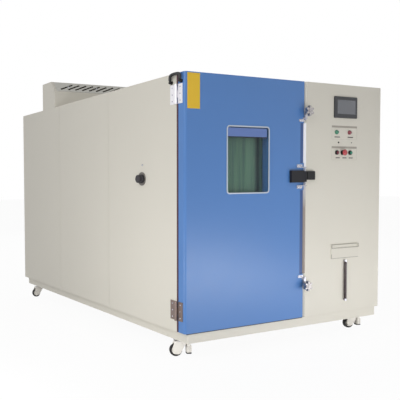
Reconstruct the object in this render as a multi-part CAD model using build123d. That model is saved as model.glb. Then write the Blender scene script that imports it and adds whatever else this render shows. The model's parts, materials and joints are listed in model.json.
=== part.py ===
"""Walk-up environmental test chamber on casters, built as separate pieces in millimetres.

Cabinet coordinates used while modelling: X runs from the left side (0) to the right side,
Y runs from the cabinet's front plane (0) to the rear, Z runs up from the floor (0).
The door and the control column stand in front of Y = 0. write() moves every piece so that
the origin ends up at the bottom centre of the whole chamber's bounding box.
"""

import math
import os

from build123d import *

# Overall sizes
body_width = 1640.0
body_depth = 2250.0
body_height = 1480.0
plinth_height = 57.0
caster_height = 108.0
front_projection = 70.0
hood_height = 217.0

# Sheet metal and clearances
sheet = 2.0
return_flange = 18.0
seam_gap = 2.0
seat_gap = 0.3
running_gap = 0.05

# Door
door_width = 926.0
door_seam = 4.0
column_chamfer = 15.0
door_back_gap = 8.0
door_skin = 1.5
bullnose_radius = 16.0
recess_width = 33.0
recess_depth = 8.0
recess_clamp_above = 28.0
recess_clamp_below = 26.0
recess_latch_clear = 84.0
window_left = 300.0
window_width = 334.0
window_top_inset = 289.0
window_height = 401.0
window_corner = 22.0
window_trim_width = 7.0
window_trim_proud = 3.0
glass_thickness = 5.0
middle_pane_depth = 45.0

# Test space
throat_left = 110.0
throat_right_margin = 96.0
throat_bottom = 130.0
throat_top_margin = 130.0
throat_lip_depth = 60.0
liner_sheet = 1.5
liner_depth = 1150.0
liner_corner = 20.0
baffle_depth = 980.0
insulation_depth = 1250.0
plug_depth = 42.0
plug_clearance = 12.0

# Hinges
hinge_length = 110.0
hinge_low = 70.0
hinge_top_inset = 64.0
hinge_leaf = 56.0
hinge_plate = 4.0
knuckle_radius = 9.0
hinge_pin_radius = 5.0
hinge_axis_x = -11.0
hinge_axis_y = -4.0

# Door cable bridge
bridge_drop = 50.0
bridge_offset = 44.0
bridge_hose_radius = 4.0
bridge_stand = 15.0
bridge_collar_height = 12.0
bridge_rise = 43.0
hose_bend_radius = 34.0

# Hood on the roof
hood_front = 1583.0
hood_rear = 1815.0
hood_chamfer_depth = 68.0
hood_chamfer_drop = 87.0
hood_slot_width = 13.0
hood_slot_run = 125.0
hood_slot_rise = 58.0
hood_slot_pitch = 66.0

# Cable port
port_back = 348.0
port_height = 886.0
port_bore_radius = 25.0
port_tube_wall = 2.0
port_flange_radius = 42.0
port_flange_thickness = 5.0
port_cap_radius = 28.0
port_cap_length = 32.0
port_stem_length = 60.0

# Centre latch
latch_height = 890.0
latch_pin_inset = 4.0
latch_pin_stand = 13.0
latch_pin_radius = 4.0
latch_barrel_radius = 9.0
handle_length = 122.0
handle_height = 75.0
handle_thickness = 15.0
keeper_inset = 7.0
keeper_width = 69.0
keeper_height = 55.0
keeper_thickness = 18.0
latch_ear_spacing = 114.0

# Swing clamps
clamp_pivot_outset = 4.0
clamp_top_inset = 230.0
clamp_bottom_pivot = 250.0
clamp_arm_length = 45.0
clamp_arm_width = 18.0
clamp_arm_thickness = 4.0
clamp_knob_radius = 33.0
clamp_knob_thickness = 18.0
clamp_neck = 16.0
clamp_stud_radius = 5.0
clamp_knob_lobes = 6
clamp_pivot_radius = 4.0

# Control column
screen_left = 1188.0
screen_width = 212.0
screen_top_inset = 77.0
screen_height = 137.0
screen_bezel_proud = 8.0
display_left = 1216.0
display_width = 165.0
display_inset = 28.0
display_height = 85.0
operator_hole_radius = 11.15
operator_collar_radius = 14.5
lamp_drop = 306.0
lamp_green_x = 1214.0
lamp_red_x = 1335.0
button_drop = 437.0
button_red_x = 1217.0
estop_x = 1270.0
button_green_x = 1342.0
button_travel = 4.0
estop_travel = 4.0
estop_head_radius = 20.0

# Water drawer and level gauge
drawer_left = 1173.0
drawer_width = 256.0
drawer_bottom = 355.0
drawer_height = 92.0
drawer_depth = 180.0
grip_frame_height = 26.0
gauge_x = 1300.0
gauge_bottom = 74.0
gauge_top = 343.0
gauge_tube_radius = 8.0
gauge_stand = 12.0

# Running gear
plinth_inset = 25.0
plinth_front_inset = 5.0
plinth_beam = 60.0
plinth_sheet = 3.0
jack_pad_length = 200.0
jack_pad_thickness = 3.0
swivel_inset_x = 80.0
swivel_front_y = 60.0
swivel_rear_inset = 150.0
wheel_radius = 37.5
wheel_width = 26.0
wheel_trail = 36.0
axle_radius = 5.0
fork_wall = 5.0
fork_gap = 1.5
front_left_turn = -25.0
front_right_turn = -12.0

# Rear services
gland_inset = 160.0
gland_z = 150.0
gland_bore_radius = 9.0
gland_length = 38.0
drain_x = 470.0
drain_z = 60.0
drain_radius = 9.0
drain_length = 40.0

# Values that follow from the ones above
base = caster_height + plinth_height
roof = base + body_height
front = -front_projection
column_left = door_width + door_seam
throat_width = door_width - throat_left - throat_right_margin
throat_height = body_height - throat_bottom - throat_top_margin
hinge_high = body_height - hinge_top_inset - hinge_length
bridge_height = body_height - bridge_drop
window_bottom = body_height - window_top_inset - window_height
screen_bottom = body_height - screen_top_inset - screen_height
display_bottom = screen_bottom + display_inset
lamp_z = body_height - lamp_drop
button_z = body_height - button_drop
latch_pin_x = door_width - latch_pin_inset
handle_left = latch_pin_x - handle_length
keeper_left = column_left + keeper_inset
clamp_pivot_x = door_width + clamp_pivot_outset
clamp_top_pivot = body_height - clamp_top_inset
recess_bottom = clamp_bottom_pivot + recess_clamp_above
recess_top = clamp_top_pivot - recess_clamp_below
swivel_rear_y = body_depth - swivel_rear_inset
gland_x = body_width - gland_inset
plug_reach = port_flange_thickness + port_cap_length
estop_reach = 30.0
clamp_reach = 6.0 + clamp_arm_thickness + seat_gap + clamp_neck + clamp_knob_thickness + 3.0
front_reach = max(estop_reach, clamp_reach)
shift_x = (body_width - plug_reach) / 2
shift_y = (body_depth + drain_length + front - front_reach) / 2

os.makedirs("parts", exist_ok=True)


def write(name, shape):
    """Writes one node, moved so that the origin is the chamber's bottom centre."""
    placed = Pos(-shift_x, -shift_y, 0) * shape
    solids = placed.solids()
    whole = solids[0] if len(solids) == 1 else Compound(children=list(solids))
    export_step(whole, "parts/" + name + ".step")


def block(x0, x1, y0, y1, z0, z1):
    """A rectangular block between six planes."""
    middle = Pos((x0 + x1) / 2, (y0 + y1) / 2, (z0 + z1) / 2)
    return middle * Box(abs(x1 - x0), abs(y1 - y0), abs(z1 - z0))


def facing_front(x, y, z):
    """Work plane at a point, drawn as seen from the front; extrusions come towards the viewer."""
    return Plane(origin=(x, y, z), x_dir=(1, 0, 0), z_dir=(0, -1, 0))


def facing_left(x, y, z):
    """Work plane at a point of the left side; extrusions go out to the left."""
    return Plane(origin=(x, y, z), x_dir=(0, -1, 0), z_dir=(-1, 0, 0))


def rod(start, direction, radius, length):
    """A round bar from a point along a direction."""
    return extrude(Plane(origin=start, z_dir=direction) * Circle(radius), length)


def front_plate(x, z, width, height, corner, y, thickness):
    """A plate with rounded corners lying in the front plane y and thickened to the viewer."""
    outline = RectangleRounded(width, height, corner)
    return extrude(facing_front(x, y, z) * outline, thickness)


def turned(points, origin, direction):
    """A turned piece: (radius, height) points spun round an axis through origin."""
    outline = make_face(Polyline(*[(r, h) for r, h in points], close=True))
    spun = revolve(Plane.XZ * outline, Axis.Z)
    return Plane(origin=origin, z_dir=direction) * spun


# Plinth: a welded ring of channel section with cross beams, jacking pads and a floor sheet
plinth_left = plinth_inset
plinth_right = body_width - plinth_inset
plinth_front = front + plinth_front_inset
plinth_rear = body_depth - plinth_inset
plinth = block(plinth_left, plinth_right, plinth_front, plinth_rear, caster_height, base)
plinth -= block(
    plinth_left + plinth_sheet,
    plinth_right - plinth_sheet,
    plinth_front + plinth_sheet,
    plinth_rear - plinth_sheet,
    caster_height + plinth_sheet,
    base - sheet,
)
bottom_window = block(
    plinth_left + plinth_beam,
    plinth_right - plinth_beam,
    plinth_front + plinth_beam + 90.0,
    plinth_rear - plinth_beam - 90.0,
    caster_height - 1.0,
    base - sheet,
)
plinth -= bottom_window
for share in (1.0 / 3.0, 2.0 / 3.0):
    beam_y = plinth_front + share * (plinth_rear - plinth_front)
    beam = block(
        plinth_left + 1.0,
        plinth_right - 1.0,
        beam_y - plinth_beam / 2,
        beam_y + plinth_beam / 2,
        caster_height,
        base - 1.0,
    )
    plinth += beam - block(
        plinth_left,
        plinth_right,
        beam_y - plinth_beam / 2 + plinth_sheet,
        beam_y + plinth_beam / 2 - plinth_sheet,
        caster_height - 1.0,
        base - sheet - plinth_sheet,
    )
    plinth += block(
        (body_width - jack_pad_length) / 2,
        (body_width + jack_pad_length) / 2,
        beam_y - plinth_beam / 2,
        beam_y + plinth_beam / 2,
        caster_height - jack_pad_thickness,
        caster_height + plinth_sheet,
    )
upright_edges = plinth.edges().filter_by(Axis.Z).group_by(Axis.Y)
plinth = fillet(upright_edges[0] + upright_edges[-1], 6.0)
write("plinth", plinth)

# Side panels: folded pans, three to a side, with a hair seam between them
panel_depth = body_depth / 3


def side_pan(inner_side, front_edge, rear_edge):
    """One folded side panel; inner_side is +1 on the left wall and -1 on the right wall."""
    outer = 0.0 if inner_side > 0 else body_width
    skin = block(outer, outer + inner_side * return_flange, front_edge, rear_edge, base, roof)
    hollow = block(
        outer + inner_side * sheet,
        outer + inner_side * (return_flange + 1.0),
        front_edge + sheet,
        rear_edge - sheet,
        base + sheet,
        roof - sheet,
    )
    return skin - hollow


def panel_span(index):
    """Front and rear edge of the side panel with this number, counted from the front."""
    first = index * panel_depth + (0.0 if index == 0 else seam_gap / 2)
    last = (index + 1) * panel_depth - (0.0 if index == 2 else seam_gap / 2)
    return first, last


port_z = base + port_height
port_hole = rod((-1.0, port_back, port_z), (1, 0, 0), port_bore_radius + port_tube_wall + seat_gap, 40.0)
left_pans = [side_pan(1, *panel_span(i)) for i in range(3)]
left_pans[0] -= port_hole
write("left_side_panels", Compound(children=left_pans))
write("right_side_panels", Compound(children=[side_pan(-1, *panel_span(i)) for i in range(3)]))

# Roof and rear panels close the shell between the side panels
roof_left = return_flange + seat_gap
roof_right = body_width - return_flange - seat_gap
roof_panel = block(roof_left, roof_right, 0.0, body_depth - sheet - seat_gap, roof - return_flange, roof)
roof_panel -= block(
    roof_left + sheet,
    roof_right - sheet,
    sheet,
    body_depth - 2 * sheet - seat_gap,
    roof - return_flange - 1.0,
    roof - sheet,
)
write("roof_panel", roof_panel)

rear_panel = block(roof_left, roof_right, body_depth - sheet, body_depth, base, roof)


def louvre(x, z, width):
    """One pressed louvre: a quarter-round hood standing out of the rear panel."""
    profile = make_face(
        Polyline((0, 0), (0, 26), (8, 8), (10, 0), close=True)
    )
    plane = Plane(origin=(x - width / 2, body_depth - 0.5, z), x_dir=(0, 1, 0), z_dir=(1, 0, 0))
    return extrude(plane * profile, width)


louvre_columns = (520.0, 1120.0)
louvre_rows = 9
for louvre_x in louvre_columns:
    for row in range(louvre_rows):
        rear_panel += louvre(louvre_x, base + 330.0 + row * 52.0, 420.0)
rear_panel -= rod((gland_x, body_depth - 10.0, base + gland_z), (0, 1, 0), gland_bore_radius + 4.0, 20.0)
rear_panel -= rod((drain_x, body_depth - 10.0, base + drain_z), (0, 1, 0), drain_radius - 0.5, 20.0)
write("rear_panel", rear_panel)

# Insulation: rigid slabs round the liner; four boards make the left one, round the cable port
wall_clear = return_flange + seat_gap
tunnel_margin = 4.0
slab_left = wall_clear
slab_right = column_left - seam_gap
slab_front = 3.0 + 0.2
slab_low = base + seat_gap
slab_high = roof - return_flange - seat_gap
liner_left = throat_left - liner_sheet - 0.2
liner_right = throat_left + throat_width + liner_sheet + 0.2
liner_low = base + throat_bottom - liner_sheet - 0.2
liner_high = base + throat_bottom + throat_height + liner_sheet + 0.2
slab_back = liner_depth + 0.2
joint_gap = 0.1
cheek_left = liner_left + joint_gap
cheek_right = liner_right - joint_gap
port_clear_radius = port_bore_radius + port_tube_wall + seat_gap
port_window = port_clear_radius + 2.0
window_front = port_back - port_window
window_back = port_back + port_window
insulation = [
    block(slab_left, liner_left, slab_front, window_front, slab_low, slab_high),
    block(slab_left, liner_left, window_back, slab_back - joint_gap, slab_low, slab_high),
    block(
        slab_left,
        liner_left,
        window_front + joint_gap,
        window_back - joint_gap,
        slab_low,
        port_z - port_window,
    ),
    block(
        slab_left,
        liner_left,
        window_front + joint_gap,
        window_back - joint_gap,
        port_z + port_window,
        slab_high,
    ),
    block(liner_right, slab_right, slab_front, slab_back - joint_gap, slab_low, slab_high),
    block(cheek_left, cheek_right, slab_front, slab_back - joint_gap, slab_low, liner_low),
    block(cheek_left, cheek_right, slab_front, slab_back - joint_gap, liner_high, slab_high),
    block(slab_left, slab_right, slab_back, insulation_depth, slab_low, slab_high),
]
tunnel_space = block(
    throat_left - tunnel_margin - 0.2,
    throat_left + throat_width + tunnel_margin + 0.2,
    0.0,
    throat_lip_depth + 0.2,
    base + throat_bottom - tunnel_margin - 0.2,
    base + throat_bottom + throat_height + tunnel_margin + 0.2,
)
insulation = [slab - tunnel_space for slab in insulation]
fan_x = throat_left + throat_width / 2
fan_z = base + throat_bottom + throat_height - 260.0
shaft_radius = 10.0
fan_front = baffle_depth + 45.0
insulation[-1] -= rod((fan_x, liner_depth - 1.0, fan_z), (0, 1, 0), shaft_radius + running_gap, 80.0)
write("insulation", Compound(children=insulation))

# Stainless liner, open at the front, with rounded upright corners
liner_outline = RectangleRounded(
    throat_width + 2 * liner_sheet, liner_depth - throat_lip_depth, liner_corner + liner_sheet
)
liner_space = RectangleRounded(throat_width, liner_depth - throat_lip_depth - 2 * liner_sheet, liner_corner)
liner_floor = Plane.XY.offset(base + throat_bottom - liner_sheet)
liner_y = (throat_lip_depth + liner_depth) / 2
liner_tall = throat_height + 2 * liner_sheet
liner = extrude(Pos(fan_x, liner_y, 0) * liner_floor * liner_outline, liner_tall)
liner -= extrude(
    Pos(fan_x, liner_y, liner_sheet) * liner_floor * liner_space, throat_height
)
liner -= block(
    throat_left,
    throat_left + throat_width,
    throat_lip_depth - 1.0,
    throat_lip_depth + liner_corner + liner_sheet,
    base + throat_bottom,
    base + throat_bottom + throat_height,
)
liner -= rod((0.0, port_back, port_z), (1, 0, 0), port_bore_radius + port_tube_wall + seat_gap, 200.0)
liner -= rod((fan_x, liner_depth - 20.0, fan_z), (0, 1, 0), shaft_radius + running_gap, 80.0)
write("chamber_liner", liner)

# Breaker frame round the throat: the face that the gasket meets
frame_x = (wall_clear + column_left - seam_gap) / 2
frame_width = column_left - seam_gap - wall_clear
frame_z = (base + roof - return_flange) / 2
frame_height = body_height - return_flange - 2 * seat_gap
throat_x = throat_left + throat_width / 2
throat_z = base + throat_bottom + throat_height / 2
throat_frame = extrude(
    facing_front(frame_x, 3.0, frame_z) * Rectangle(frame_width, frame_height), 3.0
)
throat_frame += extrude(
    facing_front(throat_x, throat_lip_depth, throat_z)
    * RectangleRounded(throat_width + 2 * tunnel_margin, throat_height + 2 * tunnel_margin, 16.0),
    throat_lip_depth - 1.0,
)
throat_frame -= extrude(
    facing_front(throat_x, throat_lip_depth + 1.0, throat_z)
    * RectangleRounded(throat_width, throat_height, 12.0),
    throat_lip_depth + 10.0,
)
write("throat_frame", throat_frame)

# Air baffle in front of the fan, with a round intake of ring slots and rows of outlet slots
baffle_gap = 0.6
baffle_width = throat_width - 2 * baffle_gap
baffle_height = throat_height - 2 * baffle_gap
baffle = extrude(
    facing_front(throat_x, baffle_depth + 20.0, throat_z) * Rectangle(baffle_width, baffle_height), 20.0
)
baffle -= extrude(
    facing_front(throat_x, baffle_depth + 21.0, throat_z)
    * Rectangle(baffle_width - 2 * sheet, baffle_height - 2 * sheet),
    19.0,
)
for ring in (45.0, 75.0, 105.0):
    for quarter in range(4):
        slot = CenterArc((0, 0), ring, 90.0 * quarter + 12.0, 66.0)
        groove = facing_front(throat_x, baffle_depth + 5.0, fan_z) * SlotArc(slot, 14.0)
        baffle -= extrude(groove, 10.0)
for row_z in (base + throat_bottom + 70.0, base + throat_bottom + 100.0):
    for column in range(7):
        outlet_x = throat_x + (column - 3) * 92.0
        baffle -= extrude(
            facing_front(outlet_x, baffle_depth + 5.0, row_z) * SlotOverall(70.0, 12.0), 10.0
        )
write("rear_baffle", baffle)

# Circulation fan: back disc, hub, shaft and backward-leaning blades
fan_radius = 140.0
fan_axis = (0, 1, 0)
fan = turned(
    [(0, 0), (28, 0), (28, 40), (fan_radius, 56), (fan_radius, 59), (24, 59), (shaft_radius, 62),
     (shaft_radius, 175), (0, 175)],
    (fan_x, fan_front, fan_z),
    fan_axis,
)
blade_count = 12
for blade in range(blade_count):
    turn = 360.0 * blade / blade_count
    blade_face = Rot(0, 0, turn) * Pos(100.0, 0, 0) * Rot(0, 0, -60.0) * Rectangle(58.0, 2.5)
    fan += Plane(origin=(fan_x, fan_front + 20.0, fan_z), z_dir=fan_axis) * extrude(blade_face, 38.0)
write("circulation_fan", fan)

# Shelf rails: slotted uprights and one pair of runner angles
upright_width = 24.0
upright_thickness = 3.0
runner_z = base + throat_bottom + 560.0
rails = []
shelf_front = 250.0
shelf_length = 690.0
for side in (1, -1):
    wall_x = throat_left if side > 0 else throat_left + throat_width
    for upright_y in (300.0, 860.0):
        upright = block(
            wall_x + side * seat_gap,
            wall_x + side * (seat_gap + upright_thickness),
            upright_y,
            upright_y + upright_width,
            base + throat_bottom + 120.0,
            base + throat_bottom + throat_height - 120.0,
        )
        for notch in range(9):
            notch_z = base + throat_bottom + 170.0 + notch * 110.0
            upright -= block(
                wall_x - 10.0,
                wall_x + side * 20.0,
                upright_y + 8.0,
                upright_y + 16.0,
                notch_z,
                notch_z + 12.0,
            )
        rails.append(upright)
    inner = wall_x + side * (seat_gap + upright_thickness + 0.3)
    runner = block(inner, inner + side * 2.0, 240.0, 960.0, runner_z - 16.0, runner_z + 6.0)
    runner += block(inner, inner + side * 16.0, 240.0, 960.0, runner_z - 2.0, runner_z)
    rails.append(runner)
write("shelf_rails", Compound(children=rails))

# Wire shelf that slides on the runners
shelf_half = throat_width / 2 - seat_gap - upright_thickness - 0.3 - 2.0 - 2.0
wire_radius = 2.5
rim_radius = 4.0
cross_radius = 3.5
shelf_z = runner_z + seat_gap + rim_radius
shelf = rod((throat_x - shelf_half + rim_radius, shelf_front, shelf_z), (0, 1, 0), rim_radius, shelf_length)
shelf += rod((throat_x + shelf_half - rim_radius, shelf_front, shelf_z), (0, 1, 0), rim_radius, shelf_length)
for cross in range(3):
    cross_y = shelf_front + 6.0 + cross * (shelf_length - 12.0) / 2
    shelf += rod(
        (throat_x - shelf_half + rim_radius, cross_y, shelf_z), (1, 0, 0), cross_radius,
        2 * (shelf_half - rim_radius),
    )
wire_count = 13
for wire in range(wire_count):
    wire_x = throat_x - shelf_half + (wire + 1) * 2 * shelf_half / (wire_count + 1)
    shelf += rod((wire_x, shelf_front + 5.0, shelf_z + 1.5), (0, 1, 0), wire_radius, shelf_length - 10.0)
write("wire_shelf", shelf)

# Hood: folded box on the roof whose sloping front corner carries the slotted grille
hood_top = roof + hood_height
chamfer_low = hood_top - hood_chamfer_drop
chamfer_back = hood_front + hood_chamfer_depth


def hood_section(inset):
    """Side outline of the hood as (Y, Z) points, moved inwards by inset."""
    lean = inset * 0.55
    return [
        (hood_front + inset, roof + seat_gap),
        (hood_front + inset, chamfer_low - lean),
        (chamfer_back + lean, hood_top - inset),
        (hood_rear - inset, hood_top - inset),
        (hood_rear - inset, roof + seat_gap),
    ]


def across(points, x0, x1):
    """A prism with the given (Y, Z) outline between two X planes."""
    plane = Plane(origin=(x0, 0, 0), x_dir=(0, 1, 0), z_dir=(1, 0, 0))
    return extrude(plane * make_face(Polyline(*points, close=True)), x1 - x0)


hood = across(hood_section(0.0), 0.0, body_width) - across(hood_section(sheet), sheet, body_width - sheet)
slope_length = math.hypot(hood_chamfer_depth, hood_chamfer_drop)
slope_plane = Plane(
    origin=(body_width / 2, hood_front + hood_chamfer_depth / 2, chamfer_low + hood_chamfer_drop / 2),
    x_dir=(1, 0, 0),
    z_dir=(0, -hood_chamfer_drop, hood_chamfer_depth),
)
grille_border = 22.0
grille_width = body_width - 2 * grille_border
grille_tall = slope_length - 12.0
opening = extrude(slope_plane * Rectangle(grille_width - 24.0, grille_tall - 20.0), 30.0, both=True)
write("exhaust_hood", hood - opening)

grille = extrude(slope_plane.offset(seat_gap) * Rectangle(grille_width, grille_tall), sheet)
slot_angle = math.degrees(math.atan2(hood_slot_rise, hood_slot_run))
slot_overall = math.hypot(hood_slot_rise, hood_slot_run)
slot_count = 22
for index in range(slot_count):
    slot_x = (index - (slot_count - 1) / 2) * hood_slot_pitch
    cut = Pos(slot_x, 0, 0) * Rot(0, 0, slot_angle) * Rectangle(slot_overall, hood_slot_width)
    grille -= extrude(slope_plane * cut, 10.0, both=True)
write("hood_grille", grille)

# Cable port: tube and flange, and the plug that fills it
port_start = (-port_flange_thickness, port_back, port_z)
tube_end = throat_left + port_flange_thickness
port_sleeve = turned(
    [
        (port_bore_radius, 0),
        (port_flange_radius - 2.0, 0),
        (port_flange_radius, 2.0),
        (port_flange_radius, port_flange_thickness),
        (port_bore_radius + port_tube_wall, port_flange_thickness),
        (port_bore_radius + port_tube_wall, tube_end),
        (port_bore_radius, tube_end),
    ],
    port_start,
    (1, 0, 0),
)
write("port_sleeve", port_sleeve)

stem_radius = port_bore_radius - seat_gap
port_plug = turned(
    [
        (0, -port_cap_length),
        (port_cap_radius - 8.0, -port_cap_length),
        (port_cap_radius - 3.0, -port_cap_length + 4.0),
        (port_cap_radius - 4.0, -12.0),
        (port_cap_radius, -8.0),
        (port_cap_radius, -seat_gap),
        (stem_radius, -seat_gap),
        (stem_radius - 2.0, port_stem_length),
        (0, port_stem_length),
    ],
    port_start,
    (1, 0, 0),
)
write("port_plug", port_plug)

# Rear services: cable gland for the supply and a drain stub
gland = turned(
    [
        (gland_bore_radius, -6.0),
        (gland_bore_radius + 3.5, -6.0),
        (gland_bore_radius + 3.5, 2.0),
        (gland_bore_radius + 9.0, 2.2),
        (gland_bore_radius + 9.0, 10.0),
        (gland_bore_radius + 6.0, 11.0),
        (gland_bore_radius + 6.0, gland_length - 9.0),
        (gland_bore_radius + 3.0, gland_length - 1.0),
        (gland_bore_radius, gland_length - 1.0),
    ],
    (gland_x, body_depth - sheet, base + gland_z),
    (0, 1, 0),
)
write("power_gland", gland)

drain = turned(
    [
        (drain_radius - 2.0, 0.0),
        (drain_radius + 8.0, 0.0),
        (drain_radius + 8.0, 4.0),
        (drain_radius, 4.0),
        (drain_radius, drain_length),
        (drain_radius - 2.0, drain_length),
    ],
    (drain_x, body_depth, base + drain_z),
    (0, 1, 0),
)
write("drain_stub", drain)

# Door: folded shell with a bullnose hinge edge and a window aperture
door_back = -door_back_gap
door_low = base + 2.0
door_tall = body_height - 2.0
window_x = window_left + window_width / 2
window_z = base + window_bottom + window_height / 2
aperture_width = window_width - 2 * window_trim_width
aperture_height = window_height - 2 * window_trim_width


def door_outline(inset, back):
    """Plan view of the door shell: square at the back, rounded at the hinge side's front edge."""
    outline = make_face(
        Polyline(
            (inset, back),
            (inset, front + inset),
            (door_width - inset, front + inset),
            (door_width - inset, back),
            close=True,
        )
    )
    corners = outline.vertices().group_by(Axis.Y)[0].sort_by(Axis.X)
    rounded = fillet(corners[0], bullnose_radius - inset)
    other = rounded.vertices().group_by(Axis.X)[-1].sort_by(Axis.Y)[0]
    return fillet(other, 4.0 - inset)



def edge_recess(skin):
    """Space of the shallow recess above and below the latch, or with a skin, of its backing."""
    spans = (
        (recess_bottom, latch_height - recess_latch_clear),
        (latch_height + recess_latch_clear, recess_top),
    )
    blocks = [
        block(
            door_width - recess_width - skin,
            door_width + 1.0,
            front - 1.0,
            front + recess_depth + skin,
            base + low - skin,
            base + high + skin,
        )
        for low, high in spans
    ]
    return blocks[0] + blocks[1]


door_shell = extrude(Plane.XY.offset(door_low) * door_outline(0.0, door_back), door_tall)
door_hollow = extrude(
    Plane.XY.offset(door_low + door_skin) * door_outline(door_skin, door_back + 5.0),
    door_tall - 2 * door_skin,
)
door_shell -= door_hollow - edge_recess(door_skin)
door_shell -= edge_recess(0.0)
window_tunnel = RectangleRounded(aperture_width + 4.0, aperture_height + 4.0, window_corner - 4.0)
window_hole = RectangleRounded(aperture_width, aperture_height, window_corner - 6.0)
door_shell += extrude(
    facing_front(window_x, door_back, window_z) * window_tunnel, front_projection - door_back_gap - 0.5
)
door_shell -= extrude(facing_front(window_x, 0.0, window_z) * window_hole, front_projection + 10.0)
write("door_shell", door_shell)

# Door liner: back sheet with the tapered plug that enters the throat
liner_back = door_back + seat_gap
plug_width = throat_width - 2 * plug_clearance
plug_height = throat_height - 2 * plug_clearance
plug_taper = 4.0
liner_edge = 0.5
door_liner = extrude(
    facing_front(door_width / 2, 1.8 + liner_back, (door_low + door_low + door_tall) / 2)
    * Rectangle(door_width - 2 * liner_edge, door_tall - 2 * liner_edge),
    1.8,
)
plug_rim = facing_front(throat_x, liner_back, throat_z) * RectangleRounded(plug_width, plug_height, 20.0)
plug_nose = facing_front(throat_x, plug_depth, throat_z) * RectangleRounded(
    plug_width - 2 * plug_taper, plug_height - 2 * plug_taper, 20.0 - plug_taper
)
door_liner += loft([plug_rim, plug_nose])
hollow_rim = facing_front(throat_x, liner_back - 0.1, throat_z) * RectangleRounded(
    plug_width - 2 * sheet, plug_height - 2 * sheet, 18.0
)
hollow_nose = facing_front(throat_x, plug_depth - sheet, throat_z) * RectangleRounded(
    plug_width - 2 * plug_taper - 2 * sheet, plug_height - 2 * plug_taper - 2 * sheet, 18.0 - plug_taper
)
door_liner -= loft([hollow_rim, hollow_nose])
door_liner += extrude(
    facing_front(window_x, plug_depth - 1.0, window_z) * window_tunnel, plug_depth - 1.0 - liner_back
)
door_liner -= extrude(facing_front(window_x, plug_depth + 5.0, window_z) * window_hole, plug_depth + 20.0)
write("door_liner", door_liner)

# Gasket: moulded strip on the door's back that meets the breaker frame
gasket_width = 22.0
gasket_back = -seat_gap
gasket_base = liner_back + 1.8 + 0.1
gasket_outline = RectangleRounded(
    plug_width + 2 * (gasket_width + 10.0), plug_height + 2 * (gasket_width + 10.0), 30.0
)
gasket_inside = RectangleRounded(plug_width + 20.0, plug_height + 20.0, 12.0)
gasket = extrude(facing_front(throat_x, gasket_back, throat_z) * gasket_outline, gasket_back - gasket_base)
gasket -= extrude(facing_front(throat_x, gasket_back + 1.0, throat_z) * gasket_inside, 20.0)
gasket = chamfer(gasket.faces().sort_by(Axis.Y)[-1].edges(), 2.0)
write("door_gasket", gasket)

# Window trim with a rolled lip, and the glass pack behind it
trim_outline = RectangleRounded(window_width, window_height, window_corner)
trim_hole = RectangleRounded(aperture_width - 2.0, aperture_height - 2.0, window_corner - 7.0)
trim = extrude(facing_front(window_x, front - 0.1, window_z) * trim_outline, window_trim_proud)
trim -= extrude(facing_front(window_x, 0.0, window_z) * trim_hole, front_projection + 10.0)
trim = fillet(trim.faces().sort_by(Axis.Y)[0].edges(), 1.2)
write("window_trim", trim)

glass_outline = RectangleRounded(aperture_width - 0.6, aperture_height - 0.6, window_corner - 6.3)
outer_pane = extrude(
    facing_front(window_x, front + 0.2 + glass_thickness, window_z) * glass_outline, glass_thickness
)
middle_pane = extrude(
    facing_front(window_x, front + middle_pane_depth + glass_thickness, window_z) * glass_outline,
    glass_thickness,
)
inner_pane = extrude(
    facing_front(window_x, plug_depth - 4.0, window_z) * glass_outline, glass_thickness
)
write("window_glass", Compound(children=[outer_pane, middle_pane, inner_pane]))

# Hinges: knuckles and pins belong to the cabinet leaves, the middle knuckle to the door leaf
knuckle_end = 35.0
knuckle_clear = 0.4


def cabinet_leaf(z):
    """Cabinet half of one hinge: side plate, two knuckles and the pin between them."""
    plate = block(-hinge_plate, -0.05, 3.0, hinge_leaf, z, z + hinge_length)
    half = rod((hinge_axis_x, hinge_axis_y, z), (0, 0, 1), knuckle_radius, knuckle_end)
    half += block(-hinge_plate, -0.05, hinge_axis_y, 4.0, z, z + knuckle_end)
    plate += half + Pos(0, 0, hinge_length - knuckle_end) * half
    return plate + rod((hinge_axis_x, hinge_axis_y, z), (0, 0, 1), hinge_pin_radius, hinge_length)


def door_leaf(z):
    """Door half of one hinge: plate on the door's side face and the middle knuckle."""
    low = z + knuckle_end + knuckle_clear
    high = z + hinge_length - knuckle_end - knuckle_clear
    leaf = block(-hinge_plate, -0.05, front + bullnose_radius + 1.0, -15.0, z, z + hinge_length)
    leaf += block(-hinge_plate, -0.05, -16.0, hinge_axis_y - 2.0, low, high)
    leaf += rod((hinge_axis_x, hinge_axis_y, low), (0, 0, 1), knuckle_radius, high - low)
    pin_bore = hinge_pin_radius + running_gap
    return leaf - rod((hinge_axis_x, hinge_axis_y, z - 1.0), (0, 0, 1), pin_bore, hinge_length + 2.0)


hinge_levels = (base + hinge_low, base + hinge_high)
write("cabinet_hinge_leaves", Compound(children=[cabinet_leaf(z) for z in hinge_levels]))
write("door_hinge_leaves", Compound(children=[door_leaf(z) for z in hinge_levels]))

# Elbows that take the door's wiring hose across the hinge gap
bridge_z = base + bridge_height
hose_start = 6.0


def elbow(y):
    """Moulded elbow on the side: round foot, body and a collar that opens upwards."""
    foot = rod((-0.05, y, bridge_z), (-1, 0, 0), 10.0, 4.0)
    neck = rod((-1.0, y, bridge_z), (-1, 0, 0), 8.5, bridge_stand - 1.0)
    neck += Pos(-bridge_stand, y, bridge_z) * Sphere(8.5)
    collar = rod((-bridge_stand, y, bridge_z), (0, 0, 1), bridge_hose_radius + 2.5, bridge_collar_height)
    hose_bore = rod((-bridge_stand, y, bridge_z + hose_start), (0, 0, 1), bridge_hose_radius + 0.2, 20.0)
    return foot + neck + collar - hose_bore


write("cable_elbow_cabinet", elbow(bridge_offset))
write("cable_elbow_door", elbow(-bridge_offset))

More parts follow.
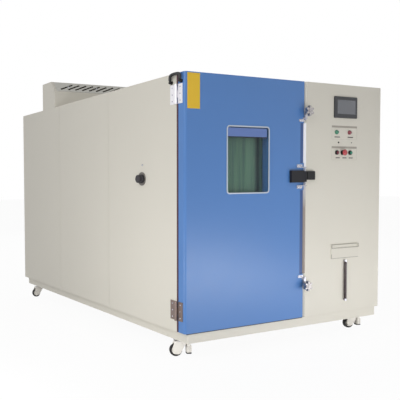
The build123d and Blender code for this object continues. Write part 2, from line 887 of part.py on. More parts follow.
# Wiring hose: a low arch from collar to collar, drawn as straight runs joined by tangent arcs
hose_route = [
    (bridge_offset, hose_start + seat_gap),
    (bridge_offset, bridge_rise),
    (-bridge_offset, bridge_rise),
    (-bridge_offset, hose_start + seat_gap),
]
hose_plane = Plane(origin=(-bridge_stand, 0, bridge_z), x_dir=(0, 1, 0), z_dir=(1, 0, 0))
hose_path = hose_plane * FilletPolyline(*hose_route, radius=hose_bend_radius)
hose_section = Plane(origin=hose_path @ 0, z_dir=hose_path % 0) * Circle(bridge_hose_radius)
hose = sweep(hose_section, path=hose_path)
write("wiring_hose", hose)

# Centre latch: two ears and a pin on the door, a pull handle, and a keeper on the column
latch_z = base + latch_height
pin_y = front - latch_pin_stand
latch_pin_low = latch_z - latch_ear_spacing / 2 - 4.0
latch_bracket = rod((latch_pin_x, pin_y, latch_pin_low), (0, 0, 1), latch_pin_radius, latch_ear_spacing + 8.0)
for direction in (1, -1):
    ear_z = latch_z + direction * latch_ear_spacing / 2
    ear = make_face(
        Polyline(
            (880.0, front - 0.1),
            (latch_pin_x + 7.0, front - 0.1),
            (latch_pin_x + 7.0, pin_y - 7.0),
            (latch_pin_x - 12.0, pin_y - 7.0),
            (880.0, front - 5.0),
            close=True,
        )
    )
    latch_bracket += extrude(Plane.XY.offset(ear_z - 2.0) * ear, 4.0)
    latch_bracket += front_plate(886.0, ear_z + direction * 8.0, 46.0, 20.0, 4.0, front - 0.1, 3.0)
write("latch_bracket", latch_bracket)

handle_right = latch_pin_x - latch_barrel_radius
handle_z = latch_z
grip_plan = make_face(
    Polyline(
        (handle_left, front - 3.0),
        (handle_left + 3.0, front - 3.0 - handle_thickness),
        (handle_right, front - 3.0 - handle_thickness - 1.0),
        (latch_pin_x, pin_y - latch_barrel_radius),
        (latch_pin_x, pin_y + latch_barrel_radius - 0.5),
        (handle_right, front - 3.0),
        close=True,
    )
)
handle = extrude(Plane.XY.offset(handle_z - handle_height / 2) * grip_plan, handle_height)
handle = fillet(handle.edges().group_by(Axis.X)[0].filter_by(Axis.Z), 2.0)
barrel_low = handle_z - handle_height / 2 + 4.0
barrel_high = handle_z + handle_height / 2 - 4.0
handle += rod((latch_pin_x, pin_y, barrel_low), (0, 0, 1), latch_barrel_radius, barrel_high - barrel_low)
notch_left = latch_pin_x - 15.0
notch_right = latch_pin_x + 15.0
handle -= block(notch_left, notch_right, front - 40.0, front, barrel_high, barrel_high + 10.0)
handle -= block(notch_left, notch_right, front - 40.0, front, barrel_low - 10.0, barrel_low)
handle -= rod((latch_pin_x, pin_y, handle_z - 80.0), (0, 0, 1), latch_pin_radius + running_gap, 160.0)
write("latch_handle", handle)

keeper_x = keeper_left + keeper_width / 2
keeper = front_plate(
    keeper_x, latch_z + 6.0, keeper_width, keeper_height, 4.0, front - seat_gap, keeper_thickness
)
keeper = chamfer(keeper.faces().sort_by(Axis.Y)[0].edges(), 2.0)
write("latch_keeper", keeper)

# Swing clamps: bracket with a shouldered pivot, arm, and star knob with a captive stud
boss_back = front - 3.1
arm_back = front - 6.0
arm_front = arm_back - clamp_arm_thickness


def clamp_bracket(pivot_z, direction):
    """Foot plate on the door's face, and the headed pivot that carries the arm."""
    foot = front_plate(
        clamp_pivot_x - 30.0, pivot_z - direction * 12.0, 42.0, 15.0, 4.0, front - 0.1, 3.0
    )
    foot += front_plate(
        clamp_pivot_x - 12.0, pivot_z - direction * 6.0, 14.0, 26.0, 4.0, front - 0.1, 3.0
    )
    foot += rod((clamp_pivot_x - 9.0, boss_back + 1.0, pivot_z), (0, -1, 0), 5.0, 3.6)
    foot += block(
        clamp_pivot_x - 12.0, clamp_pivot_x, boss_back - 2.6, boss_back + 1.0, pivot_z - 5.0, pivot_z + 5.0
    )
    foot += rod((clamp_pivot_x, boss_back + 1.0, pivot_z), (0, -1, 0), 8.0, boss_back + 1.0 - arm_back - 0.3)
    pivot_length = boss_back - arm_front + 3.0
    foot += rod((clamp_pivot_x, boss_back, pivot_z), (0, -1, 0), clamp_pivot_radius, pivot_length)
    head = rod((clamp_pivot_x, arm_front - 0.3, pivot_z), (0, -1, 0), 7.0, 3.0)
    return foot + head


def clamp_arm(pivot_z, direction):
    """Rounded strap from the pivot to the knob's stud."""
    middle = pivot_z + direction * clamp_arm_length / 2
    outline = Rot(0, 0, 90) * SlotCenterToCenter(clamp_arm_length, clamp_arm_width)
    strap = extrude(facing_front(clamp_pivot_x, arm_back, middle) * outline, clamp_arm_thickness)
    strap -= rod((clamp_pivot_x, front, pivot_z), (0, -1, 0), clamp_pivot_radius + running_gap, 30.0)
    knob_z = pivot_z + direction * clamp_arm_length
    return strap - rod((clamp_pivot_x, front, knob_z), (0, -1, 0), clamp_stud_radius + running_gap, 30.0)


def clamp_knob(pivot_z, direction):
    """Six-lobed star knob on a neck, with its stud through the arm."""
    knob_z = pivot_z + direction * clamp_arm_length
    knob_back = arm_front - seat_gap
    plane = facing_front(clamp_pivot_x, knob_back, knob_z)
    body = extrude(plane * Circle(12.0), clamp_neck + 1.0, taper=8.0)
    star = Circle(clamp_knob_radius - 13.0)
    for lobe in range(clamp_knob_lobes):
        turn = 2 * math.pi * (lobe + 0.5) / clamp_knob_lobes
        reach = clamp_knob_radius - 8.0
        star += Pos(reach * math.cos(turn), reach * math.sin(turn)) * Circle(8.0)
    head = extrude(plane.offset(clamp_neck) * star, clamp_knob_thickness)
    body += fillet(head.faces().sort_by(Axis.Y)[0].outer_wire().edges(), 2.5)
    knob_front = knob_back - clamp_neck - clamp_knob_thickness
    body += rod((clamp_pivot_x, knob_front + 1.0, knob_z), (0, -1, 0), 12.0, 4.0)
    stud_length = front - 3.0 - knob_back + 2.0
    body += rod((clamp_pivot_x, knob_back - 2.0, knob_z), (0, 1, 0), clamp_stud_radius, stud_length)
    return body


write(
    "clamp_brackets",
    Compound(
        children=[
            clamp_bracket(base + clamp_top_pivot, 1),
            clamp_bracket(base + clamp_bottom_pivot, -1),
        ]
    ),
)
write("clamp_arm_top", clamp_arm(base + clamp_top_pivot, 1))
write("clamp_arm_bottom", clamp_arm(base + clamp_bottom_pivot, -1))
write("clamp_knob_top", clamp_knob(base + clamp_top_pivot, 1))
write("clamp_knob_bottom", clamp_knob(base + clamp_bottom_pivot, -1))

# Control column: folded cover with cut-outs for everything mounted on it
column = block(column_left, body_width, front, -seat_gap, base + 2.0, roof)
front_corners = column.edges().filter_by(Axis.Z).group_by(Axis.Y)[0].sort_by(Axis.X)
column = fillet(front_corners[1], 3.0)
column = chamfer(column.edges().filter_by(Axis.Z).group_by(Axis.Y)[0].sort_by(Axis.X)[0], column_chamfer)
column_space = block(
    column_left + sheet, body_width - sheet, front + sheet, 1.0, base + 2.0 + sheet, roof - sheet
)
space_corner = column_space.edges().filter_by(Axis.Z).group_by(Axis.Y)[0].sort_by(Axis.X)[0]
column -= chamfer(space_corner, column_chamfer)
column -= extrude(
    facing_front(screen_left + screen_width / 2, front + 10.0, base + screen_bottom + screen_height / 2)
    * Rectangle(screen_width - 16.0, screen_height - 16.0),
    20.0,
)
operators = (
    (lamp_green_x, lamp_z),
    (lamp_red_x, lamp_z),
    (button_red_x, button_z),
    (estop_x, button_z),
    (button_green_x, button_z),
)
for hole_x, hole_z in operators:
    column -= rod((hole_x, front + 10.0, base + hole_z), (0, -1, 0), operator_hole_radius, 20.0)
column -= block(
    drawer_left + 6.0, drawer_left + drawer_width - 6.0, front - 5.0, front + 10.0,
    base + drawer_bottom + 5.0, base + drawer_bottom + drawer_height - 5.0,
)
write("control_column", column)

# Touch screen
bezel = front_plate(
    screen_left + screen_width / 2, base + screen_bottom + screen_height / 2,
    screen_width, screen_height, 6.0, front - 0.1, screen_bezel_proud,
)
bezel += extrude(
    facing_front(screen_left + screen_width / 2, front + 30.0, base + screen_bottom + screen_height / 2)
    * Rectangle(screen_width - 18.0, screen_height - 18.0),
    31.0,
)
display_x = display_left + display_width / 2
display_z = base + display_bottom + display_height / 2
bezel -= extrude(
    facing_front(display_x, front - screen_bezel_proud + 2.5, display_z)
    * Rectangle(display_width + 6.0, display_height + 6.0),
    10.0,
)
bezel = chamfer(bezel.faces().sort_by(Axis.Y)[0].outer_wire().edges(), 2.0)
write("screen_bezel", bezel)
screen = extrude(
    facing_front(display_x, front - screen_bezel_proud + 2.2, display_z)
    * Rectangle(display_width + 5.4, display_height + 5.4),
    1.6,
)
write("touch_screen", screen)


def lamp(x):
    """Pilot lamp: collar, domed lens and the barrel behind the panel."""
    return turned(
        [
            (0, -16.0),
            (5.0, -15.4),
            (9.0, -13.0),
            (11.0, -9.0),
            (11.5, -6.0),
            (operator_collar_radius, -5.0),
            (operator_collar_radius, -0.1),
            (operator_hole_radius - 0.2, -0.1),
            (operator_hole_radius - 0.2, 26.0),
            (0, 26.0),
        ],
        (x, front, base + lamp_z),
        (0, 1, 0),
    )


write("lamp_green", lamp(lamp_green_x))
write("lamp_red", lamp(lamp_red_x))


def collar(x, radius, stand, bore):
    """Operator collar: bezel ring in front of the panel and the barrel through it."""
    return turned(
        [
            (bore, -stand),
            (radius - 1.5, -stand),
            (radius, -stand + 1.5),
            (radius, -0.1),
            (operator_hole_radius - 0.2, -0.1),
            (operator_hole_radius - 0.2, 26.0),
            (bore, 26.0),
        ],
        (x, front, base + button_z),
        (0, 1, 0),
    )


button_radius = 9.0
button_collar_stand = 9.0
estop_stem_radius = 6.0
estop_collar_stand = 6.0
collars = [
    collar(button_red_x, operator_collar_radius, button_collar_stand, button_radius + running_gap),
    collar(button_green_x, operator_collar_radius, button_collar_stand, button_radius + running_gap),
    collar(estop_x, operator_collar_radius + 1.0, estop_collar_stand, estop_stem_radius + running_gap),
]
write("operator_collars", Compound(children=collars))


def push_button(x):
    """Push button cap with its stem in the collar."""
    cap = -(button_collar_stand + button_travel + 2.0)
    return turned(
        [(0, cap), (button_radius - 1.5, cap), (button_radius, cap + 1.5), (button_radius, 18.0), (0, 18.0)],
        (x, front, base + button_z),
        (0, 1, 0),
    )


write("red_button", push_button(button_red_x))
write("green_button", push_button(button_green_x))
estop_back = -(estop_collar_stand + estop_travel + 3.0)
plunger = turned(
    [
        (0, estop_back - 10.0),
        (4.0, estop_back - 10.0),
        (4.0, estop_back + 2.0),
        (estop_stem_radius, estop_back + 2.0),
        (estop_stem_radius, 20.0),
        (0, 20.0),
    ],
    (estop_x, front, base + button_z),
    (0, 1, 0),
)
write("estop_plunger", plunger)
mushroom = turned(
    [
        (0, -estop_reach),
        (estop_head_radius - 9.0, -estop_reach + 0.8),
        (estop_head_radius - 3.0, -estop_reach + 4.0),
        (estop_head_radius, -estop_reach + 8.0),
        (estop_head_radius, -estop_reach + 11.0),
        (estop_head_radius - 6.0, -estop_reach + 15.0),
        (11.0, estop_back),
        (4.0 + running_gap, estop_back),
        (4.0 + running_gap, estop_back - 10.0 - seat_gap),
        (0, estop_back - 10.0 - seat_gap),
    ],
    (estop_x, front, base + button_z),
    (0, 1, 0),
)
write("estop_head", mushroom)

# Water drawer: front with a framed grip, and an open tray behind it
drawer_x = drawer_left + drawer_width / 2
drawer_z = base + drawer_bottom + drawer_height / 2
drawer = front_plate(drawer_x, drawer_z, drawer_width, drawer_height, 4.0, front - seat_gap, 5.0)
grip_z = base + drawer_bottom + drawer_height - grip_frame_height / 2
drawer += front_plate(drawer_x, grip_z, drawer_width, grip_frame_height, 4.0, front - 5.0, 3.0)
drawer -= front_plate(drawer_x, grip_z, drawer_width - 8.0, grip_frame_height - 8.0, 3.0, front - 3.0, 20.0)
tray_left = drawer_left + 6.0 + 0.5
tray_right = drawer_left + drawer_width - 6.0 - 0.5
tray_low = base + drawer_bottom + 5.0 + seat_gap
tray_high = base + drawer_bottom + 66.0
tray = block(tray_left, tray_right, front - 1.0, front + drawer_depth, tray_low, tray_high)
tray_wall = 2.5
tray -= block(
    tray_left + tray_wall,
    tray_right - tray_wall,
    front + 3.0,
    front + drawer_depth - tray_wall,
    tray_low + tray_wall,
    tray_high + 1.0,
)
write("water_drawer", drawer + tray)

# Level gauge: glass tube between two fittings
gauge_y = front - gauge_stand
gauge_cap = 12.0
tube_length = gauge_top - gauge_bottom - 2 * (gauge_cap + seat_gap)
tube_low = base + gauge_bottom + gauge_cap + seat_gap
tube = rod((gauge_x, gauge_y, tube_low), (0, 0, 1), gauge_tube_radius, tube_length)
tube_bore = gauge_tube_radius - 1.5
tube -= rod((gauge_x, gauge_y, base + gauge_bottom + 10.0), (0, 0, 1), tube_bore, gauge_top - gauge_bottom)
write("gauge_tube", tube)


def gauge_fitting(z, direction):
    """Angle fitting: cap that holds the tube's end and a stub into the column."""
    cap = rod((gauge_x, gauge_y, z), (0, 0, direction), gauge_tube_radius + 1.0, gauge_cap)
    cap += rod((gauge_x, gauge_y, z + direction * 6.0), (0, 1, 0), 5.5, gauge_stand - 0.1)
    return cap


fittings = [
    gauge_fitting(base + gauge_bottom, 1),
    gauge_fitting(base + gauge_top, -1),
]
write("gauge_fittings", Compound(children=fittings))

# Casters: fixed top plates, swivelling forks, wheels, and brake pedals at the front
swivels = {
    "front_left": (swivel_inset_x, swivel_front_y),
    "front_right": (body_width - swivel_inset_x, swivel_front_y),
    "rear_left": (swivel_inset_x, swivel_rear_y),
    "rear_right": (body_width - swivel_inset_x, swivel_rear_y),
}
rest_turns = {
    "front_left": front_left_turn,
    "front_right": front_right_turn,
    "rear_left": 0.0,
    "rear_right": 0.0,
}
plate_thickness = 4.0
race_height = 8.0
fork_top = caster_height - plate_thickness - race_height
kingpin_radius = 8.0
fork_front_reach = 22.0
cheek_drop = 20.0
pedal_width = 34.0
pedal_wall = 3.0
pedal_barrel_radius = 4.0
pedal_pin_radius = 2.0
pedal_offset_x = fork_front_reach + seat_gap + pedal_barrel_radius
pedal_z = fork_top - 12.0


def top_plate(x, y):
    """Bolting plate with the upper ball race and kingpin."""
    plate = Pos(x, y, caster_height - plate_thickness / 2 - seat_gap / 2)
    body = plate * extrude(RectangleRounded(92.0, 70.0, 8.0), plate_thickness / 2, both=True)
    low = caster_height - plate_thickness - seat_gap / 2
    body += rod((x, y, low + 0.5), (0, 0, -1), 26.0, race_height - seat_gap)
    return body + rod((x, y, low), (0, 0, -1), kingpin_radius, race_height + 8.0)


write("caster_plates", Compound(children=[top_plate(x, y) for x, y in swivels.values()]))


def pedal_lugs(x, y, outer):
    """Two lugs on the fork's leading face with the pin that carries the brake pedal."""
    pin_x = x + pedal_offset_x
    lugs = rod((pin_x, y - outer, pedal_z), (0, 1, 0), pedal_pin_radius, 2 * outer)
    lug_inner = pedal_width / 2 + seat_gap
    for side in (1, -1):
        lugs += rod((pin_x, y + side * lug_inner, pedal_z), (0, side, 0), 5.5, outer - lug_inner)
        lugs += block(
            x + fork_front_reach - 2.0,
            pin_x,
            y + side * lug_inner,
            y + side * outer,
            pedal_z - 5.0,
            pedal_z + 5.0,
        )
    return lugs


def fork(x, y, braked):
    """Fork with rounded cheeks, bridge, lower race and the axle between the cheeks."""
    axle_x = x - wheel_trail
    outer = wheel_width / 2 + fork_gap + fork_wall
    inner = wheel_width / 2 + fork_gap
    bridge_z0 = fork_top - 14.0
    reach = fork_front_reach
    cheek = make_face(
        Polyline(
            (x - 44.0, fork_top - 4.0),
            (x + reach, fork_top - 4.0),
            (x + reach, bridge_z0 - 4.0),
            (axle_x + 21.0, wheel_radius - cheek_drop),
            (axle_x - 21.0, wheel_radius - cheek_drop),
            (axle_x - 23.0, wheel_radius + 12.0),
            close=True,
        )
    )
    cheek = fillet(cheek.vertices().sort_by(Axis.Y)[:2], 16.0)
    plane = Plane(origin=(0, y + outer, 0), x_dir=(1, 0, 0), z_dir=(0, -1, 0))
    body = extrude(plane * cheek, 2 * outer)
    body -= block(x - 80.0, x + 60.0, y - inner, y + inner, -5.0, wheel_radius * 2 + 4.0)
    body += rod((x, y, fork_top - 5.0), (0, 0, 1), 26.0, 4.6)
    body -= rod((x, y, fork_top - 30.0), (0, 0, 1), kingpin_radius + running_gap, 60.0)
    body += rod((axle_x, y + outer, wheel_radius), (0, -1, 0), axle_radius, 2 * outer)
    return body + pedal_lugs(x, y, outer) if braked else body


def wheel(x, y):
    """Wheel with a crowned tyre, recessed web and hub."""
    half = wheel_width / 2
    return turned(
        [
            (axle_radius + running_gap, -half),
            (12.0, -half),
            (13.5, -half + 4.0),
            (wheel_radius - 11.0, -half + 4.0),
            (wheel_radius - 9.0, -half),
            (wheel_radius - 4.0, -half),
            (wheel_radius - 1.0, -half + 4.0),
            (wheel_radius, 0),
            (wheel_radius - 1.0, half - 4.0),
            (wheel_radius - 4.0, half),
            (wheel_radius - 9.0, half),
            (wheel_radius - 11.0, half - 4.0),
            (13.5, half - 4.0),
            (12.0, half),
            (axle_radius + running_gap, half),
        ],
        (x - wheel_trail, y, wheel_radius),
        (0, 1, 0),
    )


def brake_pedal(x, y):
    """Foot pedal in front of the fork: cross barrel and a hood-shaped lever, open to the wheel."""
    side = make_face(
        Polyline(
            (0, 3.8), (9, 3.2), (16, -4), (20.5, -18), (21, -44), (17, -57), (10, -62), (1, -61), (1, -14),
            (-0.5, -3.8), close=True,
        )
    )
    side = fillet(side.vertices().sort_by(Axis.X)[-2:], 12.0)
    side += Circle(pedal_barrel_radius)
    pocket = make_face(
        Polyline(
            (-5, -9), (11, -9), (15.5, -20), (17.5, -26), (17.5, -43), (14, -54), (9, -58), (-5, -58),
            close=True,
        )
    )
    plane = Plane(
        origin=(x + pedal_offset_x, y + pedal_width / 2, pedal_z), x_dir=(1, 0, 0), z_dir=(0, -1, 0)
    )
    lever = extrude(plane * side, pedal_width)
    lever -= extrude(plane.offset(pedal_wall) * pocket, pedal_width - 2 * pedal_wall)
    return lever - extrude(plane * Circle(pedal_pin_radius + running_gap), pedal_width)


def swivelled(shape, corner):
    """A caster piece turned about its kingpin to the angle at which that caster stands."""
    x, y = swivels[corner]
    return Pos(x, y, 0) * Rot(0, 0, rest_turns[corner]) * Pos(-x, -y, 0) * shape


for corner, (x, y) in swivels.items():
    has_brake = corner.startswith("front")
    write("fork_" + corner, swivelled(fork(x, y, has_brake), corner))
    write("wheel_" + corner, swivelled(wheel(x, y), corner))
    if has_brake:
        write("brake_" + corner, swivelled(brake_pedal(x, y), corner))
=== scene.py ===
import json
import math

import bmesh
import bpy
from mathutils import Matrix, Vector


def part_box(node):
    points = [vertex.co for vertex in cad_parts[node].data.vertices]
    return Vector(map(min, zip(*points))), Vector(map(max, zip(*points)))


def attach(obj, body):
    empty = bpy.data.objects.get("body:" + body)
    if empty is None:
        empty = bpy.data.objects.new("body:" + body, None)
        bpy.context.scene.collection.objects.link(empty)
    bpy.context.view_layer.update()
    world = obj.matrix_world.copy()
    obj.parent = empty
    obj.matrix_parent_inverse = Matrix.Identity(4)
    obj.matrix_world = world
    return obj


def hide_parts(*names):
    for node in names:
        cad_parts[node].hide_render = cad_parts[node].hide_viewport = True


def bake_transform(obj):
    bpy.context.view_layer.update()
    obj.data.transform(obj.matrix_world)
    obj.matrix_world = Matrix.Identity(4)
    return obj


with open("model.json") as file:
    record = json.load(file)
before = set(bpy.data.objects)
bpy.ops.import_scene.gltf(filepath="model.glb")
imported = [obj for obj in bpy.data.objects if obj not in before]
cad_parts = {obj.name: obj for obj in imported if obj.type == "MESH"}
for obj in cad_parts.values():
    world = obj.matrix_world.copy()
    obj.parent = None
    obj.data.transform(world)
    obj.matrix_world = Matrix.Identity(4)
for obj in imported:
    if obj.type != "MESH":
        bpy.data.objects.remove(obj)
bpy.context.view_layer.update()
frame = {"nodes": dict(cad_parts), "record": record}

MM = 0.001
LEFT = Vector((-1.0, 0.0, 0.0))
FORWARD = Vector((0.0, -1.0, 0.0))
BACKWARD = Vector((0.0, 1.0, 0.0))
DOWN = Vector((0.0, 0.0, -1.0))
WHITE = (1.0, 1.0, 1.0, 1.0)

# Planes of the cabinet and the door, read from the frame
body_low, body_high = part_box("left_side_panels")
left_side = body_low.x
body_front = body_low.y
body_back = body_high.y
base = body_low.z
door_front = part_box("door_shell")[0].y
column_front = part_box("control_column")[0].y


def at(x, y, z):
    """A point given in millimetres from the body's left side, front plane and underside."""
    return Vector((left_side + x * MM, body_front + y * MM, base + z * MM))


def upright(left, right, bottom, top, front, back):
    """Two corners of an upright plate: its outline in millimetres, its two planes in metres."""
    low = at(left, 0.0, bottom)
    high = at(right, 0.0, top)
    low.y = front
    high.y = back
    return low, high


# Camera: a long view from the left of the front, framed off centre
def place_camera():
    spot = at(-2062.6, -2668.5, 868.5)
    yaw = 0.4356007
    pitch = -0.0443805
    roll = -0.0109771
    forward = Vector(
        (math.sin(yaw) * math.cos(pitch), math.cos(yaw) * math.cos(pitch), math.sin(pitch))
    )
    level_right = Vector((math.cos(yaw), -math.sin(yaw), 0.0))
    level_up = level_right.cross(forward)
    right = level_right * math.cos(roll) + level_up * math.sin(roll)
    up = level_up * math.cos(roll) - level_right * math.sin(roll)
    turn = Matrix((right, up, -forward)).transposed()
    data = bpy.data.cameras.new("camera")
    data.sensor_width = 36.0
    data.lens = 51.93
    data.shift_x = 0.3835
    data.shift_y = 0.0209
    data.clip_end = 100.0
    camera = bpy.data.objects.new("camera", data)
    camera.matrix_world = Matrix.Translation(spot) @ turn.to_4x4()
    bpy.context.scene.collection.objects.link(camera)
    bpy.context.scene.camera = camera


place_camera()
bpy.context.scene.view_settings.view_transform = "Standard"


# Shader nodes
def srgb(red, green, blue):
    """A colour written as 0 to 255 per channel, as shader colour."""
    channels = []
    for level in (red, green, blue):
        share = level / 255.0
        channels.append(share / 12.92 if share <= 0.04045 else ((share + 0.055) / 1.055) ** 2.4)
    return (channels[0], channels[1], channels[2], 1.0)


def feed(tree, socket, term):
    """Gives an input its term, which is another node's output or a fixed value."""
    if isinstance(term, bpy.types.NodeSocket):
        tree.links.new(term, socket)
    else:
        socket.default_value = term


def feed_all(tree, sockets, **terms):
    """Feeds inputs by their names, with an underscore for each space."""
    for name, term in terms.items():
        feed(tree, sockets[name.replace("_", " ")], term)


def add_node(tree, kind, **values):
    """A new node with its plain settings and its inputs."""
    node = tree.nodes.new(kind)
    for name, value in values.items():
        if hasattr(node, name):
            setattr(node, name, value)
        else:
            feed_all(tree, node.inputs, **{name: value})
    return node


def scalar_math(tree, operation, *terms):
    """Result of one operation on numbers."""
    node = add_node(tree, "ShaderNodeMath", operation=operation)
    for socket, term in zip(node.inputs, terms):
        feed(tree, socket, term)
    return node.outputs[0]


def vector_math(tree, operation, *terms, result="Vector"):
    """Result of one operation on vectors."""
    node = add_node(tree, "ShaderNodeVectorMath", operation=operation)
    for socket, term in zip(node.inputs, terms):
        feed(tree, socket, term)
    return node.outputs[result]


def object_place(tree):
    """Place on the piece, in its own axes."""
    return add_node(tree, "ShaderNodeTexCoord").outputs["Object"]


def axis_of(tree, vector, axis):
    """One axis of a vector."""
    return add_node(tree, "ShaderNodeSeparateXYZ", Vector=vector).outputs[axis]


def rise(tree, value, start, end):
    """0 at the start, 1 at the end, held outside them."""
    node = add_node(tree, "ShaderNodeMapRange", clamp=True, Value=value, From_Min=start, From_Max=end)
    return node.outputs["Result"]


def noise(tree, place, scale, detail, roughness=0.5):
    """Cloudy pattern from 0 to 1."""
    node = add_node(
        tree, "ShaderNodeTexNoise", Vector=place, Scale=scale, Detail=detail, Roughness=roughness
    )
    return node.outputs["Fac"]


def toned(tree, colour, pattern, amount):
    """The colour made darker and lighter by a pattern that swings round one half."""
    swing = scalar_math(tree, "MULTIPLY", scalar_math(tree, "SUBTRACT", pattern, 0.5), amount)
    level = scalar_math(tree, "ADD", swing, 1.0)
    return add_node(tree, "ShaderNodeHueSaturation", Value=level, Color=colour).outputs["Color"]


def streaks(tree, stretch, dark, light, dark_end, light_end):
    """Soft upright streaks between two colours: their colour and their pattern."""
    drawn_out = vector_math(tree, "MULTIPLY", object_place(tree), stretch)
    pattern = noise(tree, drawn_out, 1.0, 4.0, roughness=0.55)
    ramp = add_node(tree, "ShaderNodeValToRGB", Fac=pattern)
    stops = ramp.color_ramp.elements
    stops[0].position = dark_end
    stops[0].color = dark
    stops[1].position = light_end
    stops[1].color = light
    return ramp.outputs["Color"], pattern


def mix_colours(tree, mask, below, above):
    """Colour socket below, with colour above laid over it by the mask."""
    mix = add_node(tree, "ShaderNodeMix", data_type="RGBA")
    feed(tree, mix.inputs["Factor"], mask)
    feed(tree, mix.inputs[6], below)
    feed(tree, mix.inputs[7], above)
    return mix.outputs[2]


def mix_shaders(tree, share, below, above):
    """Shader below, with shader above mixed in by its share."""
    mix = add_node(tree, "ShaderNodeMixShader")
    for socket, term in zip(mix.inputs, (share, below, above)):
        feed(tree, socket, term)
    return mix.outputs[0]


# Shared node groups
SURFACE = [
    ("Color", "NodeSocketColor"),
    ("Roughness", "NodeSocketFloat"),
    ("Normal", "NodeSocketVector"),
]
MASK = [("Mask", "NodeSocketFloat")]


def new_group(name, inputs, outputs):
    """An empty node group, with what it is given and the sockets of its results."""
    tree = bpy.data.node_groups.new(name, "ShaderNodeTree")
    for socket_name, kind, value in inputs:
        socket = tree.interface.new_socket(socket_name, in_out="INPUT", socket_type=kind)
        socket.default_value = value
    for socket_name, kind in outputs:
        tree.interface.new_socket(socket_name, in_out="OUTPUT", socket_type=kind)
    given = tree.nodes.new("NodeGroupInput").outputs
    results = tree.nodes.new("NodeGroupOutput").inputs
    return tree, given, results


def use_group(tree, group, **terms):
    """Outputs of a shared node group with its own inputs."""
    node = tree.nodes.new("ShaderNodeGroup")
    node.node_tree = group
    feed_all(tree, node.inputs, **terms)
    return node.outputs


def build_coat_grain():
    """Fine texture, slow tone change and roughness change of paint, plastic and rubber."""
    inputs = [
        ("Color", "NodeSocketColor", (0.8, 0.8, 0.8, 1.0)),
        ("Grain", "NodeSocketFloat", 900.0),
        ("Depth", "NodeSocketFloat", 0.05),
        ("Tone", "NodeSocketFloat", 0.04),
        ("Rough", "NodeSocketFloat", 0.4),
    ]
    tree, given, results = new_group("coat_grain", inputs, SURFACE)
    place = object_place(tree)
    fine = noise(tree, place, given["Grain"], 2.0)
    slow = noise(tree, place, 1.7, 3.0)
    cloudy = noise(tree, place, 22.0, 4.0)
    bump = add_node(
        tree, "ShaderNodeBump", Distance=0.0006, Strength=given["Depth"], Height=fine
    )
    feed_all(
        tree, results,
        Color=toned(tree, given["Color"], slow, given["Tone"]),
        Roughness=scalar_math(tree, "MULTIPLY_ADD", cloudy, 0.12, given["Rough"]),
        Normal=bump.outputs["Normal"],
    )
    return tree


def build_brushed_lines():
    """Fine parallel scratches of brushed or rolled sheet, with their own tone and roughness."""
    inputs = [
        ("Color", "NodeSocketColor", (0.6, 0.6, 0.6, 1.0)),
        ("Stretch", "NodeSocketVector", (20.0, 20.0, 900.0)),
        ("Contrast", "NodeSocketFloat", 0.15),
        ("Rough", "NodeSocketFloat", 0.3),
    ]
    tree, given, results = new_group("brushed_lines", inputs, SURFACE)
    drawn_out = vector_math(tree, "MULTIPLY", object_place(tree), given["Stretch"])
    lines = noise(tree, drawn_out, 1.0, 3.0)
    bump = add_node(tree, "ShaderNodeBump", Distance=0.0004, Strength=0.08, Height=lines)
    feed_all(
        tree, results,
        Color=toned(tree, given["Color"], lines, given["Contrast"]),
        Roughness=scalar_math(tree, "MULTIPLY_ADD", lines, 0.2, given["Rough"]),
        Normal=bump.outputs["Normal"],
    )
    return tree


def build_settled_dust():
    """Mask of the thin dust that lies in patches on faces looking up."""
    tree, given, results = new_group(
        "settled_dust", [("Amount", "NodeSocketFloat", 0.2)], MASK
    )
    facing = add_node(tree, "ShaderNodeNewGeometry").outputs["Normal"]
    upward = rise(tree, axis_of(tree, facing, "Z"), 0.3, 1.0)
    patches = noise(tree, object_place(tree), 14.0, 5.0)
    lying = scalar_math(tree, "MULTIPLY", upward, patches)
    feed_all(tree, results, Mask=scalar_math(tree, "MULTIPLY", lying, given["Amount"]))
    return tree


def build_rubbed_edges():
    """Mask of the edges, where handling polishes or wears the finish in broken stretches."""
    inputs = [("Width", "NodeSocketFloat", 0.002), ("Amount", "NodeSocketFloat", 1.0)]
    tree, given, results = new_group("rubbed_edges", inputs, MASK)
    rounded = add_node(tree, "ShaderNodeBevel", samples=4, Radius=given["Width"]).outputs["Normal"]
    plain = add_node(tree, "ShaderNodeNewGeometry").outputs["Normal"]
    agree = vector_math(tree, "DOT_PRODUCT", rounded, plain, result="Value")
    edge = rise(tree, agree, 0.995, 0.9)
    broken = rise(tree, noise(tree, object_place(tree), 60.0, 3.0), 0.42, 0.62)
    rubbed = scalar_math(tree, "MULTIPLY", edge, broken)
    feed_all(tree, results, Mask=scalar_math(tree, "MULTIPLY", rubbed, given["Amount"]))
    return tree


coat_grain = build_coat_grain()
brushed_lines = build_brushed_lines()
settled_dust = build_settled_dust()
rubbed_edges = build_rubbed_edges()


# Kinds of finish
DUST_COLOUR = srgb(196, 190, 178)
WORN_EDGE_WIDTH = 0.0018


def new_material(name):
    """A material with its tree and its shader."""
    material = bpy.data.materials.new(name)
    material.use_nodes = True
    tree = material.node_tree
    return material, tree, tree.nodes["Principled BSDF"]


def dress(tree, shader, surface, shade, **values):
    """Gives a shader its colour, a group's roughness and normal, and its own values."""
    feed_all(
        tree, shader.inputs,
        Base_Color=shade,
        Roughness=surface["Roughness"],
        Normal=surface["Normal"],
        **values,
    )


